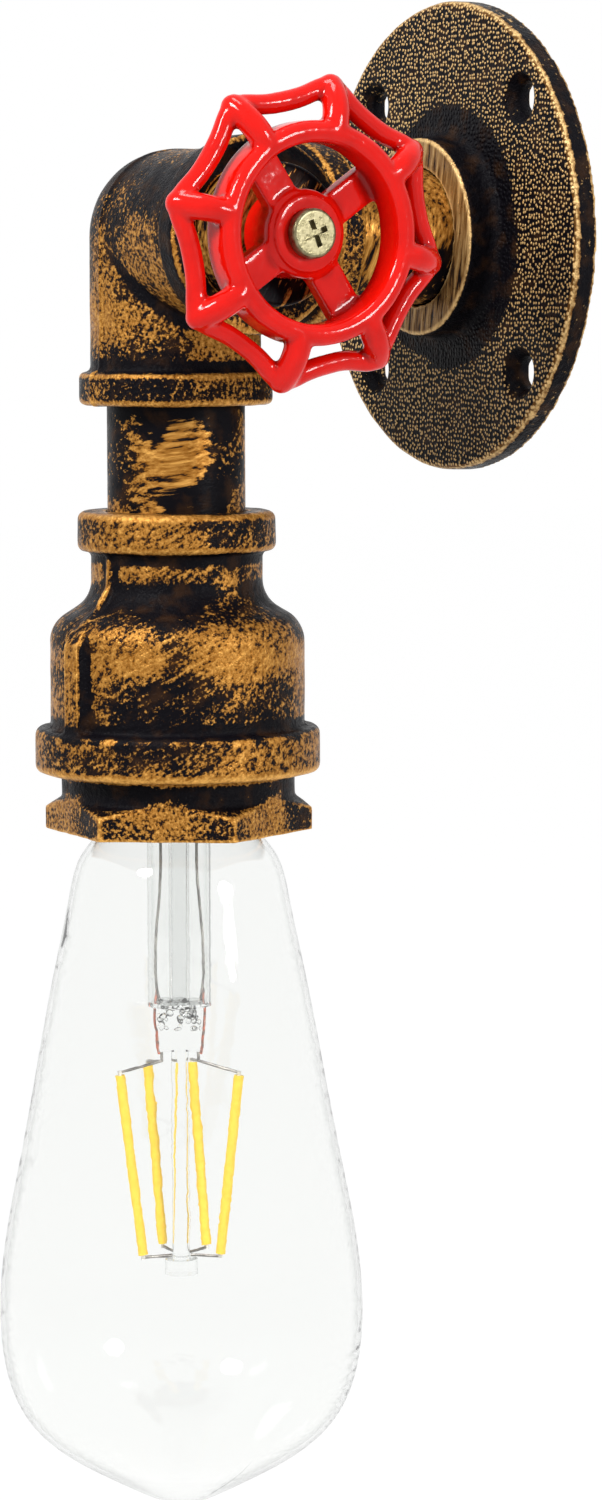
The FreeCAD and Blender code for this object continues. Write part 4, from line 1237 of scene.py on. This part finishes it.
@dataclass
class Lamp:
    """The filament lamp: bulb, cap, glass mount, filaments and wires."""

    effects: Effects
    head_height: float = -163.0 * MM
    foot_height: float = -198.6 * MM
    head_spread: float = 12.0 * MM
    foot_spread: float = 8.0 * MM
    heads: tuple[float, ...] = (43.0, 139.0, 183.0, 253.0)
    feet: tuple[float, ...] = (45.0, 112.0, 178.0, 262.0)
    tab_length: float = 0.9 * MM
    tab_radius: float = 0.40 * MM
    mount_angle: float = 59.0
    pinch_top: float = -149.0 * MM
    copper_radius: float = 0.27 * MM
    # Each knot's distance from the axis, turn in degrees and drop below the pinch's top.
    copper_knots: tuple[tuple[float, float, float], ...] = (
        (4.5 * MM, 0.0, -2.5 * MM), (4.9 * MM, 4.0, 2.0 * MM), (4.6 * MM, -3.0, 6.5 * MM),
        (4.1 * MM, 0.0, 10.2 * MM),
    )
    bead_count: int = 46
    bead_seed: int = 11
    bead_drop: Span = (-0.6 * MM, 5.2 * MM)
    bead_across: float = 4.3 * MM
    bead_depth: float = 1.5 * MM
    bead_stretch: tuple[Span, Span, Span] = ((0.7, 1.5), (0.7, 1.3), (0.6, 1.1))
    bead_radius: Span = (0.35 * MM, 0.8 * MM)

    def build(self) -> list[bpy.types.Object]:
        """Dress the lamp's parts and add what the construction model leaves out.

        Returns:
            The new pieces.
        """
        drawn = ClearGlass("DrawnGlass", Paint.MOUNT, Paint.MOUNT_RIM_SHADE, 0.35)
        wire = PlainCoat("SupportWire", Paint.WIRE, Paint.NICKEL_SHADE, 0.8, 0.3, 0.5)
        nickel = PlainCoat("NickelCap", Paint.NICKEL, Paint.NICKEL_SHADE, 0.9, 0.25, 0.4)
        plan = {
            "bulb_glass": ClearGlass("BlownGlass"), "glass_stem": drawn, "exhaust_tube": drawn,
            "led_filaments": PlainCoat("AmberCoating", Paint.AMBER, Paint.DEEP_AMBER, 0.0, 0.5, 0.7,
                                       900.0, 0.03 * MM),
            "filament_wires_top": wire, "filament_wires_bottom": wire, "stem_leads": wire,
            "screw_cap": nickel, "cap_contact": nickel,
            "cap_insulator": PlainCoat("BlackGlass", Paint.BLACK_GLASS, Paint.SOOT, 0.0, 0.08, 0.2),
            "driver_board": PlainCoat("Laminate", Paint.BOARD, Paint.BOARD_SHADE, 0.0, 0.3, 0.5),
            "driver_capacitor": PlainCoat("CanSleeve", Paint.SLEEVE, Paint.SOOT, 0.0, 0.3, 0.5),
        }
        dress_nodes(plan, self.effects)
        return [self.add_tabs(), self.add_copper(), self.add_beads(drawn)]

    def add_tabs(self) -> bpy.types.Object:
        """The pale metal tab at each end of each filament.

        Returns:
            The tabs, as one piece.
        """
        routes = []
        for head, foot in zip(self.heads, self.feet):
            top = on_lamp(self.head_spread, head, self.head_height)
            bottom = on_lamp(self.foot_spread, foot, self.foot_height)
            way = (top - bottom).normalized() * self.tab_length
            inset = way * 0.5
            routes.append([top - inset, top + way])
            routes.append([bottom + inset, bottom - way])
        tabs = link("filament_tabs", wire_mesh("filament_tabs", routes, self.tab_radius))
        finish = PlainCoat("FilamentTab", Paint.TAB, Paint.NICKEL, 0.6, 0.3, 0.5)
        return self.take_in(tabs, finish.build(self.effects))

    def add_copper(self) -> bpy.types.Object:
        """The copper-clad leads where they pass the pinch.

        Returns:
            The leads, as one piece.
        """
        routes = []
        for angle in (self.mount_angle, self.mount_angle + 180.0):
            routes.append([on_lamp(radius, angle + turn, self.pinch_top - drop)
                           for radius, turn, drop in self.copper_knots])
        leads = link("copper_leads", wire_mesh("copper_leads", routes, self.copper_radius))
        finish = PlainCoat("CopperClad", Paint.COPPER, Paint.WIRE, 0.6, 0.3, 0.5, 900.0)
        return self.take_in(leads, finish.build(self.effects))

    def add_beads(self, finish: ClearGlass) -> bpy.types.Object:
        """The bubbly, folded glass round the pinch.

        Args:
            finish: the drawn glass.

        Returns:
            The beads, as one piece.
        """
        dice = random.Random(self.bead_seed)
        model = bmesh.new()
        for _ in range(self.bead_count):
            height = self.pinch_top - dice.uniform(*self.bead_drop)
            spread = dice.uniform(-self.bead_across, self.bead_across)
            depth = dice.uniform(-self.bead_depth, self.bead_depth)
            middle = on_lamp(spread, self.mount_angle, height)
            middle += on_lamp(depth, self.mount_angle + 90.0, 0.0) - LAMP_AXIS
            stretch = Matrix.Diagonal([dice.uniform(*limits) for limits in self.bead_stretch] + [1.0])
            turn = Matrix.Rotation(dice.uniform(0.0, math.pi), 4, "Y")
            place = Matrix.Translation(middle) @ turn @ stretch
            radius = dice.uniform(*self.bead_radius)
            bmesh.ops.create_icosphere(model, subdivisions=3, radius=radius, matrix=place)
        mesh = bpy.data.meshes.new("pinch_beads")
        model.to_mesh(mesh)
        model.free()
        smooth_faces(mesh)
        return self.take_in(link("pinch_beads", mesh), bpy.data.materials[finish.name])

    def take_in(self, piece: bpy.types.Object, material: bpy.types.Material) -> bpy.types.Object:
        """Dress a new piece and let it ride on the lamp.

        Args:
            piece: the new piece.
            material: its material.

        Returns:
            The piece.
        """
        dress(piece, material)
        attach(piece, "lamp")
        return piece


# --- Studio ---
@dataclass(frozen=True)
class SoftBox:
    """A round soft lamp aimed at the light."""

    name: str
    place: tuple[float, float, float]
    width: float
    power: float

    def build(self, target: Vector) -> None:
        """Hang the lamp.

        Args:
            target: the point that it faces.
        """
        data = bpy.data.lights.new(self.name, "AREA")
        data.shape = "DISK"
        data.size = self.width
        data.energy = self.power
        lamp = bpy.data.objects.new(self.name, data)
        bpy.context.scene.collection.objects.link(lamp)
        lamp.location = self.place
        lamp.rotation_euler = (target - lamp.location).to_track_quat("-Z", "Y").to_euler()


def seen_directly(bench: NodeBench) -> object:
    """Whether a ray comes from the camera, a reflection or clear glass.

    Args:
        bench: the bench of the world or of a material.

    Returns:
        The socket, 1 for such a ray.
    """
    path = bench.add("ShaderNodeLightPath")
    direct = bench.maths("MAXIMUM", path.outputs["Is Camera Ray"], path.outputs["Is Glossy Ray"])
    return bench.maths("MAXIMUM", direct, path.outputs["Is Transmission Ray"])


@dataclass
class Studio:
    """The camera, the lamps, the pale floor and the white surround."""

    azimuth: float = 59.04
    elevation: float = 5.96
    roll: float = -0.2
    distance: float = 899.6 * MM
    across: float = -33.1 * MM
    height: float = -102.45 * MM
    lens: float = 108.0
    sensor: float = 36.0
    clip: Span = (0.01, 50.0)
    floor_height: float = -420.0 * MM
    floor_reach: float = 6.0
    floor_clouds_per_metre: float = 6.0
    floor_cloud: Span = (0.2, 0.8)
    floor_roughness: float = 0.8
    floor_glow_share: float = 0.86
    floor_glow: float = 1.11
    fill: float = 0.26
    target: tuple[float, float, float] = (0.0, -0.05, -0.09)
    boxes: tuple[SoftBox, ...] = (
        SoftBox("KeyBox", (0.22, -0.85, 0.55), 0.28, 9.6),
        SoftBox("SideBox", (0.95, 0.30, 0.20), 0.24, 6.0),
        SoftBox("TopBox", (0.10, -0.20, 0.95), 0.36, 4.2),
    )

    def build(self) -> None:
        """Set up everything around the light."""
        self.aim_camera()
        self.light_surround()
        self.lay_floor()
        for box in self.boxes:
            box.build(Vector(self.target))
        bpy.context.scene.view_settings.view_transform = "Standard"

    def aim_camera(self) -> None:
        """Create the camera at the photograph's viewing angle."""
        turn = math.radians(self.azimuth)
        rise = math.radians(self.elevation)
        back = Vector((math.sin(turn) * math.cos(rise), -math.cos(turn) * math.cos(rise), math.sin(rise)))
        level = Vector((math.cos(turn), math.sin(turn), 0.0))
        plumb = back.cross(level)
        tilt = math.radians(self.roll)
        right = level * math.cos(tilt) + plumb * math.sin(tilt)
        up = plumb * math.cos(tilt) - level * math.sin(tilt)
        data = bpy.data.cameras.new("PhotoCamera")
        data.lens = self.lens
        data.sensor_width = self.sensor
        data.clip_start, data.clip_end = self.clip
        camera = bpy.data.objects.new("PhotoCamera", data)
        bpy.context.scene.collection.objects.link(camera)
        bpy.context.scene.camera = camera
        place = level * self.across + plumb * self.height + back * self.distance
        rotation = Matrix((right, up, back)).transposed().to_4x4()
        camera.matrix_world = Matrix.Translation(place) @ rotation

    def light_surround(self) -> None:
        """White all round for the camera and for reflections, softer as a source of light."""
        world = bpy.data.worlds.new("Surround")
        bpy.context.scene.world = world
        world.use_nodes = True
        world.node_tree.nodes.clear()
        bench = NodeBench(world.node_tree)
        strength = bench.ramp(seen_directly(bench), 0.0, 1.0, self.fill, 1.0)
        sky = bench.add("ShaderNodeBackground")
        sky.inputs["Color"].default_value = (1.0, 1.0, 1.0, 1.0)
        bench.feed(strength, sky, "Strength")
        bench.feed(sky.outputs[0], bench.add("ShaderNodeOutputWorld"), "Surface")

    def lay_floor(self) -> None:
        """A wide pale floor below the light that still takes its shadow."""
        reach = self.floor_reach
        corners = [(-reach, -reach, 0), (reach, -reach, 0), (reach, reach, 0), (-reach, reach, 0)]
        mesh = bpy.data.meshes.new("studio_floor")
        mesh.from_pydata(corners, [], [(0, 1, 2, 3)])
        floor = link("studio_floor", mesh)
        floor.location.z = self.floor_height
        material, bench, shader = open_material("PaleFloor")
        cloud = bench.ramp(bench.speckle(self.floor_clouds_per_metre), *self.floor_cloud)
        tone = bench.blend(cloud, Paint.FLOOR.value, Paint.FLOOR_SHADE.value)
        bench.feed(tone, shader, "Base Color")
        shader.inputs["Roughness"].default_value = self.floor_roughness
        glow = bench.add("ShaderNodeEmission")
        glow.inputs["Strength"].default_value = self.floor_glow
        mix = bench.add("ShaderNodeMixShader")
        share = bench.maths("MULTIPLY", seen_directly(bench), self.floor_glow_share)
        bench.feed(share, mix, 0)
        bench.feed(shader.outputs[0], mix, 1)
        bench.feed(glow.outputs[0], mix, 2)
        bench.feed(mix.outputs[0], material.node_tree.nodes["Material Output"], "Surface")
        dress(floor, material)


def main() -> None:
    """Build the light in order and report each piece."""
    logging.basicConfig(level=logging.INFO, format="%(name)s: %(message)s")
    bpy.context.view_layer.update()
    effects = Effects()
    Lampholder(effects).dress_parts()
    for maker in (Castings(effects), Handwheel(effects), Lamp(effects)):
        for piece in maker.build():
            LOG.info("%s: %d faces", piece.name, len(piece.data.polygons))
    Studio().build()


if __name__ == "__main__":
    main()
